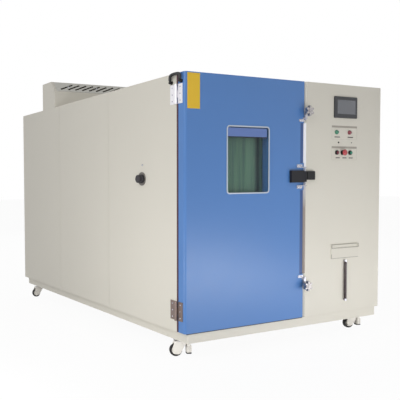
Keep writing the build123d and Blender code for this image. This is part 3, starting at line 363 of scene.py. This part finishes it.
def coated(name, colour, rough=0.38, grain=900.0, depth=0.05, tone=0.04, dust=0.0, wear=None,
           specular=0.5, coat=0.0):
    """Paint, plastic or rubber; dust lies on top and wear, as colour and share, shows on edges."""
    material, tree, shader = new_material(name)
    surface = use_group(
        tree, coat_grain, Color=colour, Grain=grain, Depth=depth, Tone=tone, Rough=rough - 0.06
    )
    shade = surface["Color"]
    if wear is not None:
        worn_colour, worn_share = wear
        worn = use_group(tree, rubbed_edges, Width=WORN_EDGE_WIDTH, Amount=worn_share)
        shade = mix_colours(tree, worn["Mask"], shade, worn_colour)
    if dust:
        lying = use_group(tree, settled_dust, Amount=dust)
        shade = mix_colours(tree, lying["Mask"], shade, DUST_COLOUR)
    dress(
        tree, shader, surface, shade,
        Specular_IOR_Level=specular, Coat_Weight=coat, Coat_Roughness=0.12,
    )
    return material


def brushed(name, colour, stretch=(20.0, 20.0, 900.0), rough=0.3, contrast=0.15):
    """Bare metal sheet or turned metal with fine lines along one direction."""
    material, tree, shader = new_material(name)
    surface = use_group(
        tree, brushed_lines, Color=colour, Stretch=stretch, Contrast=contrast, Rough=rough - 0.1
    )
    dress(tree, shader, surface, surface["Color"], Metallic=1.0)
    return material


def steel_with_painted_reflection(name, lower, upper, start, end):
    """Steel with a painted reflection: dull below one height and bright above another."""
    material, tree, shader = new_material(name)
    height = rise(tree, axis_of(tree, object_place(tree), "Z"), start, end)
    surface = use_group(
        tree, brushed_lines, Color=lower, Stretch=(900.0, 900.0, 24.0), Contrast=0.3, Rough=0.3
    )
    dress(tree, shader, surface, mix_colours(tree, height, surface["Color"], upper), Metallic=0.55)
    return material


def ringed(name, hub, tyre, hub_radius, axle):
    """A wheel whose hub and tyre differ, told apart by the distance from a point on its axle."""
    material, tree, shader = new_material(name)
    from_axle = vector_math(tree, "SUBTRACT", object_place(tree), axle)
    sideways = vector_math(tree, "MULTIPLY", from_axle, (1.0, 0.0, 1.0))
    reach = vector_math(tree, "LENGTH", sideways, result="Value")
    outside = scalar_math(tree, "GREATER_THAN", reach, hub_radius)
    surface = use_group(tree, coat_grain, Color=hub, Grain=700.0, Depth=0.08, Tone=0.05, Rough=0.5)
    dress(tree, shader, surface, mix_colours(tree, outside, surface["Color"], tyre))
    return material


def streaked_glass(name, light, dark, see_through, rough, haze, ior):
    """Pane or tube with soft upright streaks: how much light passes, its roughness and its index."""
    material, tree, shader = new_material(name)
    shade, pattern = streaks(tree, (26.0, 1.0, 1.6), dark, light, 0.36, 0.66)
    feed_all(
        tree, shader.inputs,
        Base_Color=shade,
        Roughness=scalar_math(tree, "MULTIPLY_ADD", pattern, haze, rough),
        Transmission_Weight=see_through,
        IOR=ior,
    )
    return material


def window_view(name, right_edge):
    """Tinted film seen through the panes: soft upright streaks, and a dark band near one edge that is
    painted shade of the window's reveal.
    """
    material, tree, shader = new_material(name)
    shade, pattern = streaks(
        tree, (30.0, 1.0, 1.1), srgb(78, 98, 98), srgb(104, 134, 118), 0.34, 0.62
    )
    across = axis_of(tree, object_place(tree), "X")
    # Painted shade: the dark band near the right edge stands for the shaded reveal
    reveal_shade_rise = rise(tree, across, right_edge - 0.075, right_edge - 0.045)
    reveal_shade_fall = rise(tree, across, right_edge - 0.012, right_edge - 0.03)
    band = scalar_math(tree, "MULTIPLY", reveal_shade_rise, reveal_shade_fall)
    feed_all(
        tree, shader.inputs,
        Base_Color=mix_colours(tree, band, shade, srgb(34, 46, 56)),
        Roughness=0.5,
        Specular_IOR_Level=0.2,
    )
    return material


# Finishes by material slot: the colour, then what differs from the plain kind
coats = {
    "cabinet_paint": (
        (213, 209, 198), dict(rough=0.42, grain=1400.0, depth=0.04, tone=0.03, dust=0.25)
    ),
    "door_paint": ((78, 124, 186), dict(rough=0.34, grain=1400.0, depth=0.04, tone=0.05)),
    "drawer_paint": ((211, 207, 196), dict(rough=0.45, grain=1000.0, depth=0.05)),
    "grille_paint": ((202, 201, 194), dict(rough=0.45, grain=1200.0, dust=0.2)),
    "breaker": ((190, 186, 180), dict(rough=0.55, grain=700.0, depth=0.08)),
    "foam": ((226, 214, 170), dict(rough=0.9, grain=260.0, depth=0.4, tone=0.12)),
    "black_plastic": ((14, 14, 17), dict(rough=0.42, grain=1600.0, depth=0.15, specular=0.3)),
    "handle_plastic": (
        (16, 16, 24),
        dict(rough=0.46, grain=1500.0, depth=0.2, specular=0.3, wear=(srgb(72, 66, 74), 0.6)),
    ),
    "bezel_plastic": ((40, 42, 47), dict(rough=0.4, grain=1600.0, depth=0.12)),
    "screen": ((92, 95, 102), dict(rough=0.2, grain=30.0, depth=0.0, tone=0.15, coat=0.5)),
    "green_lens": ((40, 122, 92), dict(rough=0.16, grain=300.0, depth=0.1, coat=0.6)),
    "red_lens": ((122, 28, 48), dict(rough=0.16, grain=300.0, depth=0.1, coat=0.6)),
    "green_button": ((44, 130, 102), dict(rough=0.25, depth=0.08, coat=0.3)),
    "red_button": ((112, 38, 52), dict(rough=0.25, depth=0.08, coat=0.3)),
    "estop_red": ((172, 48, 56), dict(rough=0.28, depth=0.08, coat=0.3)),
    "gasket_rubber": ((72, 74, 76), dict(rough=0.7, grain=700.0, depth=0.15)),
    "plug_rubber": ((42, 39, 44), dict(rough=0.6, grain=800.0, depth=0.2)),
    "caster_ivory": ((234, 230, 222), dict(rough=0.36, grain=1200.0, depth=0.08, dust=0.15)),
    "hose_rubber": ((30, 30, 32), dict(rough=0.5, grain=1200.0, depth=0.2)),
}
metals = {
    "stainless": ((186, 190, 192), dict(stretch=(30.0, 30.0, 1100.0), rough=0.34)),
    "zinc_steel": ((188, 188, 196), dict(stretch=(190.0, 190.0, 190.0), rough=0.28, contrast=0.9)),
    "trim_steel": ((178, 186, 196), dict(stretch=(400.0, 400.0, 400.0), rough=0.45)),
    "port_steel": ((120, 116, 112), dict(stretch=(500.0, 500.0, 500.0), rough=0.35)),
    # knob_metal: its strong patchy contrast is a painted reflection, the dark and bright patches of
    # chrome
    "knob_metal": ((172, 168, 168), dict(stretch=(130.0, 130.0, 130.0), rough=0.34, contrast=1.3)),
    "brass_fitting": ((190, 160, 98), dict(stretch=(60.0, 900.0, 60.0))),
    "fan_aluminium": ((190, 192, 194), dict(stretch=(90.0, 90.0, 90.0), rough=0.4)),
}
finishes = {
    # hinge_steel: painted reflection, dull brown-grey on the lower hinge and near white on the upper
    # hinge
    "hinge_steel": steel_with_painted_reflection("hinge_steel", srgb(128, 112, 106), srgb(236, 234, 238), 0.9, 1.2),
    "gauge_glass": streaked_glass(
        "gauge_glass", srgb(66, 46, 54), srgb(34, 20, 26), 0.2, rough=0.16, haze=0.08, ior=1.45
    ),
    "window_glass": streaked_glass(
        "window_glass", srgb(250, 254, 252), srgb(238, 246, 242), 1.0, rough=0.0, haze=0.02, ior=1.18
    ),
}
for name, (colour, values) in coats.items():
    finishes[name] = coated(name, srgb(*colour), **values)
for name, (colour, values) in metals.items():
    finishes[name] = brushed(name, srgb(*colour), **values)

HUB_IVORY = srgb(226, 222, 214)
TYRE_BLACK = srgb(12, 10, 11)
HUB_RADIUS = 0.0265


def finish_cad_nodes():
    """Gives every CAD node its material; each wheel has one of its own, centred on its axle."""
    slot_of = {part["node"]: part["material_slot"] for part in frame["record"]["subparts"]}
    for node, thing in frame["nodes"].items():
        if slot_of[node] == "tyre":
            low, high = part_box(node)
            material = ringed(node + "_finish", HUB_IVORY, TYRE_BLACK, HUB_RADIUS, (low + high) / 2)
        else:
            material = finishes[slot_of[node]]
        thing.data.materials.clear()
        thing.data.materials.append(material)


finish_cad_nodes()


# Modelling helpers: every piece ends with its place in its mesh
def clear_selection():
    if bpy.context.object and bpy.context.object.mode != "OBJECT":
        bpy.ops.object.mode_set(mode="OBJECT")
    bpy.ops.object.select_all(action="DESELECT")


def settle(piece, name, body, slot_name, material=None):
    """Puts the piece's place in its mesh and gives it its name, body and finish."""
    clear_selection()
    piece.select_set(True)
    bpy.context.view_layer.objects.active = piece
    bpy.ops.object.transform_apply(location=True, rotation=True, scale=True)
    piece.name = name
    piece.data.name = name
    piece.data.materials.clear()
    piece.data.materials.append(material or finishes[slot_name])
    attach(piece, body)


def select_faces(piece, wanted):
    """In edit mode, selects the faces whose normal passes the test."""
    bpy.ops.object.mode_set(mode="EDIT")
    bpy.ops.mesh.select_mode(type="FACE")
    shape = bmesh.from_edit_mesh(piece.data)
    for face in shape.faces:
        face.select = wanted(face.normal)
    shape.select_flush_mode()
    bmesh.update_edit_mesh(piece.data)


def looks_forward(normal):
    return normal.y < -0.9


def looks_down(normal):
    return normal.z < -0.9


def looks_up(normal):
    return normal.z > 0.9


def add_block(size, centre=(0.0, 0.0, 0.0)):
    """A block of the given size round a point."""
    clear_selection()
    bpy.ops.mesh.primitive_cube_add(size=1.0, location=centre)
    piece = bpy.context.object
    piece.scale = size
    bpy.ops.object.transform_apply(location=False, rotation=False, scale=True)
    return piece


def add_disc(radius, thickness, centre):
    """A disc that looks forward, its place in its mesh."""
    clear_selection()
    bpy.ops.mesh.primitive_cylinder_add(
        vertices=24, radius=radius, depth=thickness, location=centre, rotation=(math.pi / 2, 0, 0)
    )
    piece = bpy.context.object
    bpy.ops.object.transform_apply(location=True, rotation=True, scale=True)
    return piece


def add_plate(name, body, corners, slot_name, rounding, material):
    """A thin upright plate: bevelled outline, front face inset and pressed in a little."""
    low, high = corners
    size = high - low
    thin = min(size)
    piece = add_block(size, (low + high) / 2)
    bpy.ops.object.mode_set(mode="EDIT")
    bpy.ops.mesh.select_all(action="DESELECT")
    bpy.ops.mesh.select_mode(type="EDGE")
    shape = bmesh.from_edit_mesh(piece.data)
    for edge in shape.edges:
        edge.select = edge.calc_length() < thin * 1.01
    bmesh.update_edit_mesh(piece.data)
    bpy.ops.mesh.bevel(offset=rounding, segments=4, affect="EDGES")
    select_faces(piece, looks_forward)
    bpy.ops.mesh.inset(thickness=min(rounding * 0.4, 0.0008), depth=thin * 0.2)
    bpy.ops.object.mode_set(mode="OBJECT")
    settle(piece, name, body, slot_name, material)


# Printed and plain plates on the door
def door_plate():
    """Plain yellow plate near the hinge edge."""
    yellow = coated(
        "plate_yellow", srgb(222, 182, 44), rough=0.4, grain=500.0, depth=0.06, tone=0.12,
        wear=(srgb(240, 220, 140), 0.6),
    )
    corners = upright(17.0, 106.0, 1275.0, 1474.0, door_front - 0.6 * MM, door_front)
    add_plate("door_plate", "door", corners, "bezel_plastic", 0.002, yellow)


def window_films():
    """Bare blue strip on the outer pane with a painted shadow strip under it, and a tinted film
    further in.
    """
    low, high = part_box("window_trim")
    strip_left = low.x + 0.009
    strip_right = high.x - 0.0215
    strip_front = door_front - 0.4 * MM
    strip_back = door_front + 0.2 * MM
    film = coated("header_film", srgb(92, 118, 176), rough=0.35, grain=600.0, depth=0.03, tone=0.08)
    shadow = coated("header_shadow", srgb(16, 22, 34), rough=0.6, grain=500.0, depth=0.05)
    strips = (
        ("window_header", 0.064, 0.0135, "door_paint", 0.003, film),
        # Painted shadow: a dark strip under the blue strip, where the top of the window's reveal is
        # in shade
        ("window_header_painted_shadow", 0.070, 0.0645, "black_plastic", 0.001, shadow),
    )
    for name, bottom_drop, top_drop, slot_name, rounding, material in strips:
        corners = (
            Vector((strip_left, strip_front, high.z - bottom_drop)),
            Vector((strip_right, strip_back, high.z - top_drop)),
        )
        add_plate(name, "door", corners, slot_name, rounding, material)
    margin = 0.0085
    film_front = door_front + 0.0503
    film_back = film_front + 0.8 * MM
    corners = (
        Vector((low.x + margin, film_front, low.z + margin)),
        Vector((high.x - margin, film_back, high.z - margin)),
    )
    view = window_view("window_view", high.x - 0.009)
    add_plate("window_film", "door", corners, "gasket_rubber", 0.014, view)


def seal_and_shade_strips():
    """Rubber strips over the door's gaps at the hinge edge and foot, dark to paint the gaps' shade;
    darker blue strips paint the shade in the latch edge's recess.
    """
    # Painted shade: the hinge-edge seal strips take the colour of the dark gap between door and body
    hinge_seal_shade = coated("hinge_seal_painted_shade", srgb(74, 40, 54), rough=0.6, grain=500.0, depth=0.15)
    # Painted shadow: the strip under the door's foot is the dark line of the gap beneath the door
    foot = coated("foot_seal_painted_shade", srgb(58, 64, 78), rough=0.6, grain=500.0, depth=0.15)
    # Painted shade: a darker blue than the door paint, for the shaded recess
    shade = coated("recess_painted_shade", srgb(52, 84, 138), rough=0.4, grain=1400.0, depth=0.04, tone=0.05)
    low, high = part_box("door_shell")
    for number, (bottom, top) in enumerate(((3.0, 68.0), (182.0, 1304.0), (1418.0, 1476.0)), 1):
        corners = at(-1.8, -13.0, bottom), at(-0.05, -0.5, top)
        add_plate(f"hinge_edge_seal_shade_{number}", "door", corners, "gasket_rubber", 0.0006, hinge_seal_shade)
    corners = (
        Vector((low.x + 0.012, door_front + 0.4 * MM, base - 0.003)),
        Vector((high.x - 0.006, door_front + 3.6 * MM, base + 0.002)),
    )
    add_plate("foot_seal_shade", "door", corners, "gasket_rubber", 0.0006, foot)
    recess_floor = door_front + 8.0 * MM
    for number, (bottom, top) in enumerate(((279.0, 805.0), (975.0, 1223.0)), 1):
        corners = upright(894.0, 925.0, bottom, top, recess_floor - 0.8 * MM, recess_floor)
        add_plate(f"recess_shade_strip_{number}", "door", corners, "door_paint", 0.002, shade)


# Plates on the control column and the water drawer
def column_plate(name, left, right, bottom, top, material):
    """One printed field on the control column, given in millimetres."""
    corners = upright(left, right, bottom, top, column_front - 0.4 * MM, column_front)
    add_plate(name, "cabinet", corners, "bezel_plastic", 0.0005, material)


def operator_fields():
    """The two operator fields: a grey band over a fine frame, and a dark strip under each device."""
    band = coated("print_band", srgb(160, 154, 144), rough=0.5, grain=300.0, depth=0.1, tone=0.3)
    line = coated("print_line", srgb(182, 178, 168), rough=0.5, grain=300.0, depth=0.02)
    dark = coated("print_dark", srgb(66, 62, 60), rough=0.5, grain=300.0, depth=0.02)
    left, right = 1172.0, 1408.0
    band_height = 13.0
    line_width = 1.2
    strip_half_height = 3.0
    for field, (band_low, frame_low) in enumerate(((1203.0, 1128.0), (1070.0, 995.0)), 1):
        column_plate(f"field_{field}_band", left, right, band_low, band_low + band_height, band)
        column_plate(f"field_{field}_bottom", left, right, frame_low, frame_low + line_width, line)
        column_plate(f"field_{field}_left", left, left + line_width, frame_low, band_low, line)
        column_plate(f"field_{field}_right", right - line_width, right, frame_low, band_low, line)
    upper, lower = (1143.0, 25.0), (1009.0, 19.0)
    devices = ((1222.0, upper), (1346.0, upper), (1229.0, lower), (1292.0, lower), (1352.0, lower))
    for number, (x, (z, half)) in enumerate(devices, 1):
        bottom = z - strip_half_height
        top = z + strip_half_height
        column_plate(f"device_strip_{number}", x - half, x + half, bottom, top, dark)


def drawer_shade_lines():
    """Dark lines that paint the shade round the drawer's grip frame and the shadow along its lower
    left corner.
    """
    # Painted shade: dark lines at the grip frame's edges and along the drawer's lower left corner
    line = coated("drawer_shade_line", srgb(104, 100, 94), rough=0.5, grain=300.0, depth=0.02)
    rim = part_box("water_drawer")[0].y
    face = rim + 0.0027
    strips = (
        (1173.6, 1428.4, 444.4, 446.4, rim), (1173.6, 1428.4, 421.6, 423.6, rim),
        (1173.6, 1176.4, 423.6, 444.4, rim), (1425.6, 1428.4, 423.6, 444.4, rim),
        (1174.0, 1428.0, 355.4, 357.4, face), (1174.0, 1177.0, 357.4, 384.0, face),
    )
    for number, (left, right, bottom, top, plane) in enumerate(strips, 1):
        corners = upright(left, right, bottom, top, plane - 0.3 * MM, plane)
        add_plate(f"drawer_shade_line_{number}", "water_drawer", corners, "bezel_plastic", 0.0003, line)


# Strip, sleeve, boots and caps
def bevel_strip():
    """Wear strip of brushed steel on the column's bevel, between the two clamps. Its dull lower part
    and bright upper part are a painted reflection.
    """
    bevel_depth = 0.0072
    piece = add_block((0.0165, 0.0008, 0.944))
    select_faces(piece, looks_forward)
    bpy.ops.mesh.inset(thickness=0.002, depth=0.0)
    bpy.ops.transform.translate(value=(0, -0.0004, 0))
    bpy.ops.object.mode_set(mode="OBJECT")
    piece.rotation_euler = (0.0, 0.0, -math.pi / 4)
    piece.location = at(937.2, 0.0, 751.0)
    piece.location.y = column_front + bevel_depth
    # Painted reflection: grey-brown below the latch height, bright white above it
    metal = steel_with_painted_reflection("bevel_steel_painted_reflection", srgb(146, 136, 130), srgb(224, 224, 230), 0.85, 1.1)
    settle(piece, "bevel_strip", "cabinet", "zinc_steel", metal)


def wiring_sleeve():
    """Sleeve that shows in place of the plain wiring hose."""
    low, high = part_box("wiring_hose")
    x = (low.x + high.x) / 2
    foot = low.z + 0.006
    crest = high.z - 0.004
    cabinet_end = high.y - 0.004
    door_end = low.y + 0.004
    straight = 0.012
    route = (
        (cabinet_end, foot),
        (cabinet_end, foot + straight),
        (cabinet_end - 0.004, crest - 0.001),
        ((cabinet_end + door_end) / 2, crest + 0.002),
        (door_end + 0.004, crest - 0.001),
        (door_end, foot + straight),
        (door_end, foot),
    )
    data = bpy.data.curves.new("wiring_sleeve", "CURVE")
    data.dimensions = "3D"
    data.bevel_depth = 0.0085
    data.bevel_resolution = 6
    data.resolution_u = 40
    line = data.splines.new("NURBS")
    line.points.add(len(route) - 1)
    for point, (y, z) in zip(line.points, route):
        point.co = (x, y, z, 1.0)
    line.order_u = 3
    line.use_endpoint_u = True
    sleeve = bpy.data.objects.new("wiring_sleeve", data)
    bpy.context.scene.collection.objects.link(sleeve)
    clear_selection()
    sleeve.select_set(True)
    bpy.context.view_layer.objects.active = sleeve
    bpy.ops.object.convert(target="MESH")
    sleeve = bpy.context.object
    bpy.ops.object.shade_smooth()
    sleeve.data.materials.clear()
    sleeve.data.materials.append(finishes["hose_rubber"])
    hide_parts("wiring_hose")
    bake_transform(sleeve)


def brake_boot(corner, kingpin_x, turn):
    """Moulded boot over a front caster's pedal, with the black tread under it, which also paints the
    shade under the boot.
    """
    kingpin_y = 60.0
    pedal_reach = 0.0405
    swivel = Matrix.Rotation(math.radians(turn), 4, "Z")
    kingpin = Matrix.Translation(at(kingpin_x, kingpin_y, 0.0)) @ swivel
    parts = (
        ("brake_boot_", (0.034, 0.037, 0.048), -121.0, 0.012, "caster_ivory"),
        # Black rubber tread that also stands for the painted shade along the boot's underside
        ("brake_tread_shade_", (0.031, 0.030, 0.009), -146.0, 0.004, "black_plastic"),
    )
    for prefix, size, height, rounding, slot_name in parts:
        piece = add_block(size)
        bpy.ops.object.mode_set(mode="EDIT")
        bpy.ops.mesh.select_all(action="SELECT")
        bpy.ops.mesh.bevel(offset=rounding, segments=5, affect="EDGES")
        bpy.ops.object.mode_set(mode="OBJECT")
        bpy.ops.object.shade_smooth_by_angle(angle=math.radians(40))
        piece.matrix_world = kingpin @ Matrix.Translation((pedal_reach, 0.0, height * MM))
        settle(piece, prefix + corner, "brake_" + corner, slot_name)


def column_cap(name, x, radius, slot_name):
    """A small round cap with a hollowed face, between the two operator fields."""
    thickness = 0.003
    centre = at(x, 0.0, 1108.0)
    centre.y = column_front - thickness / 2
    piece = add_disc(radius, thickness, centre)
    select_faces(piece, looks_forward)
    bpy.ops.mesh.inset(thickness=radius * 0.3, depth=0.0006)
    bpy.ops.mesh.inset(thickness=radius * 0.3, depth=-0.0012)
    bpy.ops.object.mode_set(mode="OBJECT")
    bpy.ops.object.shade_smooth_by_angle(angle=math.radians(35))
    settle(piece, name, "cabinet", slot_name)


door_plate()
window_films()
operator_fields()
seal_and_shade_strips()
bevel_strip()
wiring_sleeve()
drawer_shade_lines()
brake_boot("front_left", 80.0, -25.0)
brake_boot("front_right", 1560.0, -12.0)
column_cap("sounder_cap", 1234.0, 0.0055, "black_plastic")
column_cap("service_eye", 1356.0, 0.003, "bezel_plastic")


# Fasteners: one pattern of each kind, copied to its places
def model_screw(radius):
    """One domed screw that looks forward, with a round recess, at the origin."""
    piece = add_disc(radius, radius * 0.5, (0, -radius * 0.25, 0))
    select_faces(piece, looks_forward)
    bpy.ops.mesh.inset(thickness=radius * 0.25, depth=radius * 0.16)
    bpy.ops.mesh.inset(thickness=radius * 0.3, depth=radius * 0.1)
    bpy.ops.mesh.inset(thickness=radius * 0.15, depth=-radius * 0.28)
    bpy.ops.object.mode_set(mode="OBJECT")
    bpy.ops.object.shade_smooth_by_angle(angle=math.radians(35))
    return piece


def model_hex_bolt(radius):
    """One hex bolt head that looks down, with its washer, at the origin."""
    clear_selection()
    bpy.ops.mesh.primitive_cylinder_add(
        vertices=6, radius=radius, depth=radius * 0.7, location=(0, 0, -radius * 0.5)
    )
    piece = bpy.context.object
    bpy.ops.object.transform_apply(location=True, rotation=True, scale=True)
    select_faces(piece, looks_down)
    bpy.ops.mesh.inset(thickness=radius * 0.14, depth=radius * 0.08)
    select_faces(piece, looks_up)
    bpy.ops.mesh.inset(thickness=radius * 0.1, depth=0.0)
    bpy.ops.mesh.extrude_region_move(TRANSFORM_OT_translate={"value": (0, 0, radius * 0.15)})
    bpy.ops.transform.resize(value=(1.35, 1.35, 1.0), center_override=(0, 0, 0))
    bpy.ops.object.mode_set(mode="OBJECT")
    return piece


def copies(pattern, name, points, outward, body, slot_name="zinc_steel", faces=FORWARD):
    """Copies of a pattern that faces one way, each with its own mesh, turned to look outward."""
    for number, point in enumerate(points, 1):
        copy = pattern.copy()
        copy.data = pattern.data.copy()
        bpy.context.scene.collection.objects.link(copy)
        turn = faces.rotation_difference(outward).to_matrix().to_4x4()
        spin = Matrix.Rotation(0.7 * number, 4, outward)
        copy.matrix_world = Matrix.Translation(point) @ spin @ turn
        settle(copy, f"{name}_{number:02d}", body, slot_name)


def hinge_screws(screw):
    """Three screws in each leaf of the two hinges."""
    leaf_length = 0.110
    leaf_thickness = 0.004
    knuckle_depth = 0.015
    low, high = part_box("cabinet_hinge_leaves")
    door_leaf_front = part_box("door_hinge_leaves")[0].y
    face = left_side - leaf_thickness
    heights = [
        bottom + height
        for bottom in (low.z, high.z - leaf_length)
        for height in (0.017, 0.055, 0.093)
    ]
    cabinet_y = body_front + 0.036
    door_y = (door_leaf_front + body_front - knuckle_depth) / 2
    on_cabinet = [Vector((face, cabinet_y, z)) for z in heights]
    on_door = [Vector((face, door_y, z)) for z in heights]
    copies(screw, "hinge_screw_cabinet", on_cabinet, LEFT, "cabinet")
    copies(screw, "hinge_screw_door", on_door, LEFT, "door")


def clamp_screws(screw):
    """Two screws in each clamp bracket and four in the latch's."""
    bracket_thickness = 0.0031
    pairs = (
        (886.0, 906.0, 1238.0), (886.0, 906.0, 262.0), (876.0, 898.0, 955.0), (876.0, 898.0, 825.0)
    )
    points = []
    for left, right, z in pairs:
        for x in (left, right):
            point = at(x, 0.0, z)
            point.y = door_front - bracket_thickness
            points.append(point)
    copies(screw, "clamp_screw", points, FORWARD, "door")


def port_screws(screw):
    """Four screws on the diagonals of the cable port's flange."""
    ring_radius = 0.034
    low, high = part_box("port_sleeve")
    centre = (low + high) / 2
    points = []
    for quarter in range(4):
        turn = math.radians(45 + 90 * quarter)
        y = centre.y + ring_radius * math.cos(turn)
        z = centre.z + ring_radius * math.sin(turn)
        points.append(Vector((low.x, y, z)))
    copies(screw, "port_screw", points, LEFT, "cabinet", "port_steel")


def hood_studs(screw):
    """Six studs along the middle of the hood's sloping grille."""
    first, pitch = 0.141, 0.269
    half_thickness = 0.0008
    low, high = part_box("hood_grille")
    slope = Vector((0.0, low.z - high.z, high.y - low.y)).normalized()
    middle = (low + high) / 2 + slope * half_thickness
    points = [
        Vector((left_side + first + pitch * number, middle.y, middle.z)) for number in range(6)
    ]
    copies(screw, "hood_stud", points, slope, "cabinet")


def rear_screws(screw):
    """Six screws up each side of the rear panel."""
    inset = 0.02
    first, pitch = 0.060, 0.272
    low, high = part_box("rear_panel")
    points = [
        Vector((x, body_back, base + first + pitch * number))
        for x in (low.x + inset, high.x - inset)
        for number in range(6)
    ]
    copies(screw, "rear_screw", points, BACKWARD, "cabinet")


def caster_bolts(bolt):
    """Four bolts under each caster's plate."""
    plate_half_width, plate_half_length = 0.046, 0.035
    plate_thickness = 0.0043
    low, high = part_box("caster_plates")
    points = [
        Vector((plate_x + bolt_x, plate_y + bolt_y, high.z - plate_thickness))
        for plate_x in (low.x + plate_half_width, high.x - plate_half_width)
        for plate_y in (low.y + plate_half_length, high.y - plate_half_length)
        for bolt_x in (-0.037, 0.037)
        for bolt_y in (-0.026, 0.026)
    ]
    copies(bolt, "caster_bolt", points, DOWN, "cabinet", faces=DOWN)


def fit_fasteners():
    small = model_screw(0.0042)
    large = model_screw(0.0065)
    bolt = model_hex_bolt(0.0065)
    hinge_screws(small)
    clamp_screws(small)
    port_screws(small)
    copies(large, "port_stud", [at(0.0, 341.0, 972.0)], LEFT, "cabinet")
    hood_studs(large)
    rear_screws(large)
    caster_bolts(bolt)
    for pattern in (small, large, bolt):
        bpy.data.objects.remove(pattern)


fit_fasteners()


# Floor, world and lamps
def lay_floor():
    """A wide pale floor that keeps the shadow and shows near white to the camera and to gloss."""
    clear_selection()
    bpy.ops.mesh.primitive_plane_add(size=60.0, location=(0, 0, -0.0005))
    floor = bpy.context.object
    floor.name = "floor"
    material, tree, shader = new_material("floor_paint")
    pale = (0.9, 0.9, 0.9, 1.0)
    surface = use_group(tree, coat_grain, Color=pale, Grain=60.0, Depth=0.02, Tone=0.01, Rough=0.8)
    feed_all(
        tree, shader.inputs, Base_Color=surface["Color"], Roughness=0.9, Specular_IOR_Level=0.1
    )
    rays = add_node(tree, "ShaderNodeLightPath").outputs
    seen = scalar_math(tree, "MAXIMUM", rays["Is Camera Ray"], rays["Is Glossy Ray"])
    glow = add_node(tree, "ShaderNodeEmission", Color=WHITE, Strength=1.0)
    glow_share = scalar_math(tree, "MULTIPLY", seen, 0.95)
    mixed = mix_shaders(tree, glow_share, shader.outputs[0], glow.outputs[0])
    feed(tree, tree.nodes["Material Output"].inputs["Surface"], mixed)
    floor.data.materials.append(material)


def light_world():
    """White to the camera, to gloss and through glass; a softer level as light."""
    world = bpy.data.worlds.new("studio")
    bpy.context.scene.world = world
    world.use_nodes = True
    tree = world.node_tree
    tree.nodes.clear()
    soft = add_node(tree, "ShaderNodeBackground", Color=WHITE, Strength=0.36)
    white = add_node(tree, "ShaderNodeBackground", Color=WHITE, Strength=1.0)
    rays = add_node(tree, "ShaderNodeLightPath").outputs
    direct = scalar_math(tree, "MAXIMUM", rays["Is Camera Ray"], rays["Is Glossy Ray"])
    seen = scalar_math(tree, "MAXIMUM", direct, rays["Is Transmission Ray"])
    output = add_node(tree, "ShaderNodeOutputWorld")
    mixed = mix_shaders(tree, seen, soft.outputs[0], white.outputs[0])
    feed(tree, output.inputs["Surface"], mixed)


def hang_lamp(name, spot, aim, width, height, power):
    """A soft lamp at a point, turned to look at another."""
    data = bpy.data.lights.new(name, "AREA")
    data.shape = "RECTANGLE"
    data.size = width
    data.size_y = height
    data.energy = power
    lamp = bpy.data.objects.new(name, data)
    lamp.location = spot
    lamp.rotation_euler = (Vector(aim) - Vector(spot)).to_track_quat("-Z", "Y").to_euler()
    bpy.context.scene.collection.objects.link(lamp)


lay_floor()
light_world()
hang_lamp("key", (-4.3, -2.9, 3.4), (0.0, 0.0, 1.2), 3.0, 3.0, 84.0)
hang_lamp("low_front", (0.1, -2.95, 0.2), (-0.2, -1.1, 0.1), 2.4, 0.3, 15.0)
hang_lamp("low_near", (0.75, -2.3, 0.15), (0.1, -1.1, 0.1), 1.7, 0.3, 2.5)
hang_lamp("low_corner", (-2.3, -1.2, 0.3), (-0.8, -0.9, 0.25), 1.0, 0.4, 8.0)
hang_lamp("rear", (3.0, 5.0, 4.0), (0.0, 0.0, 1.0), 3.0, 3.0, 120.0)
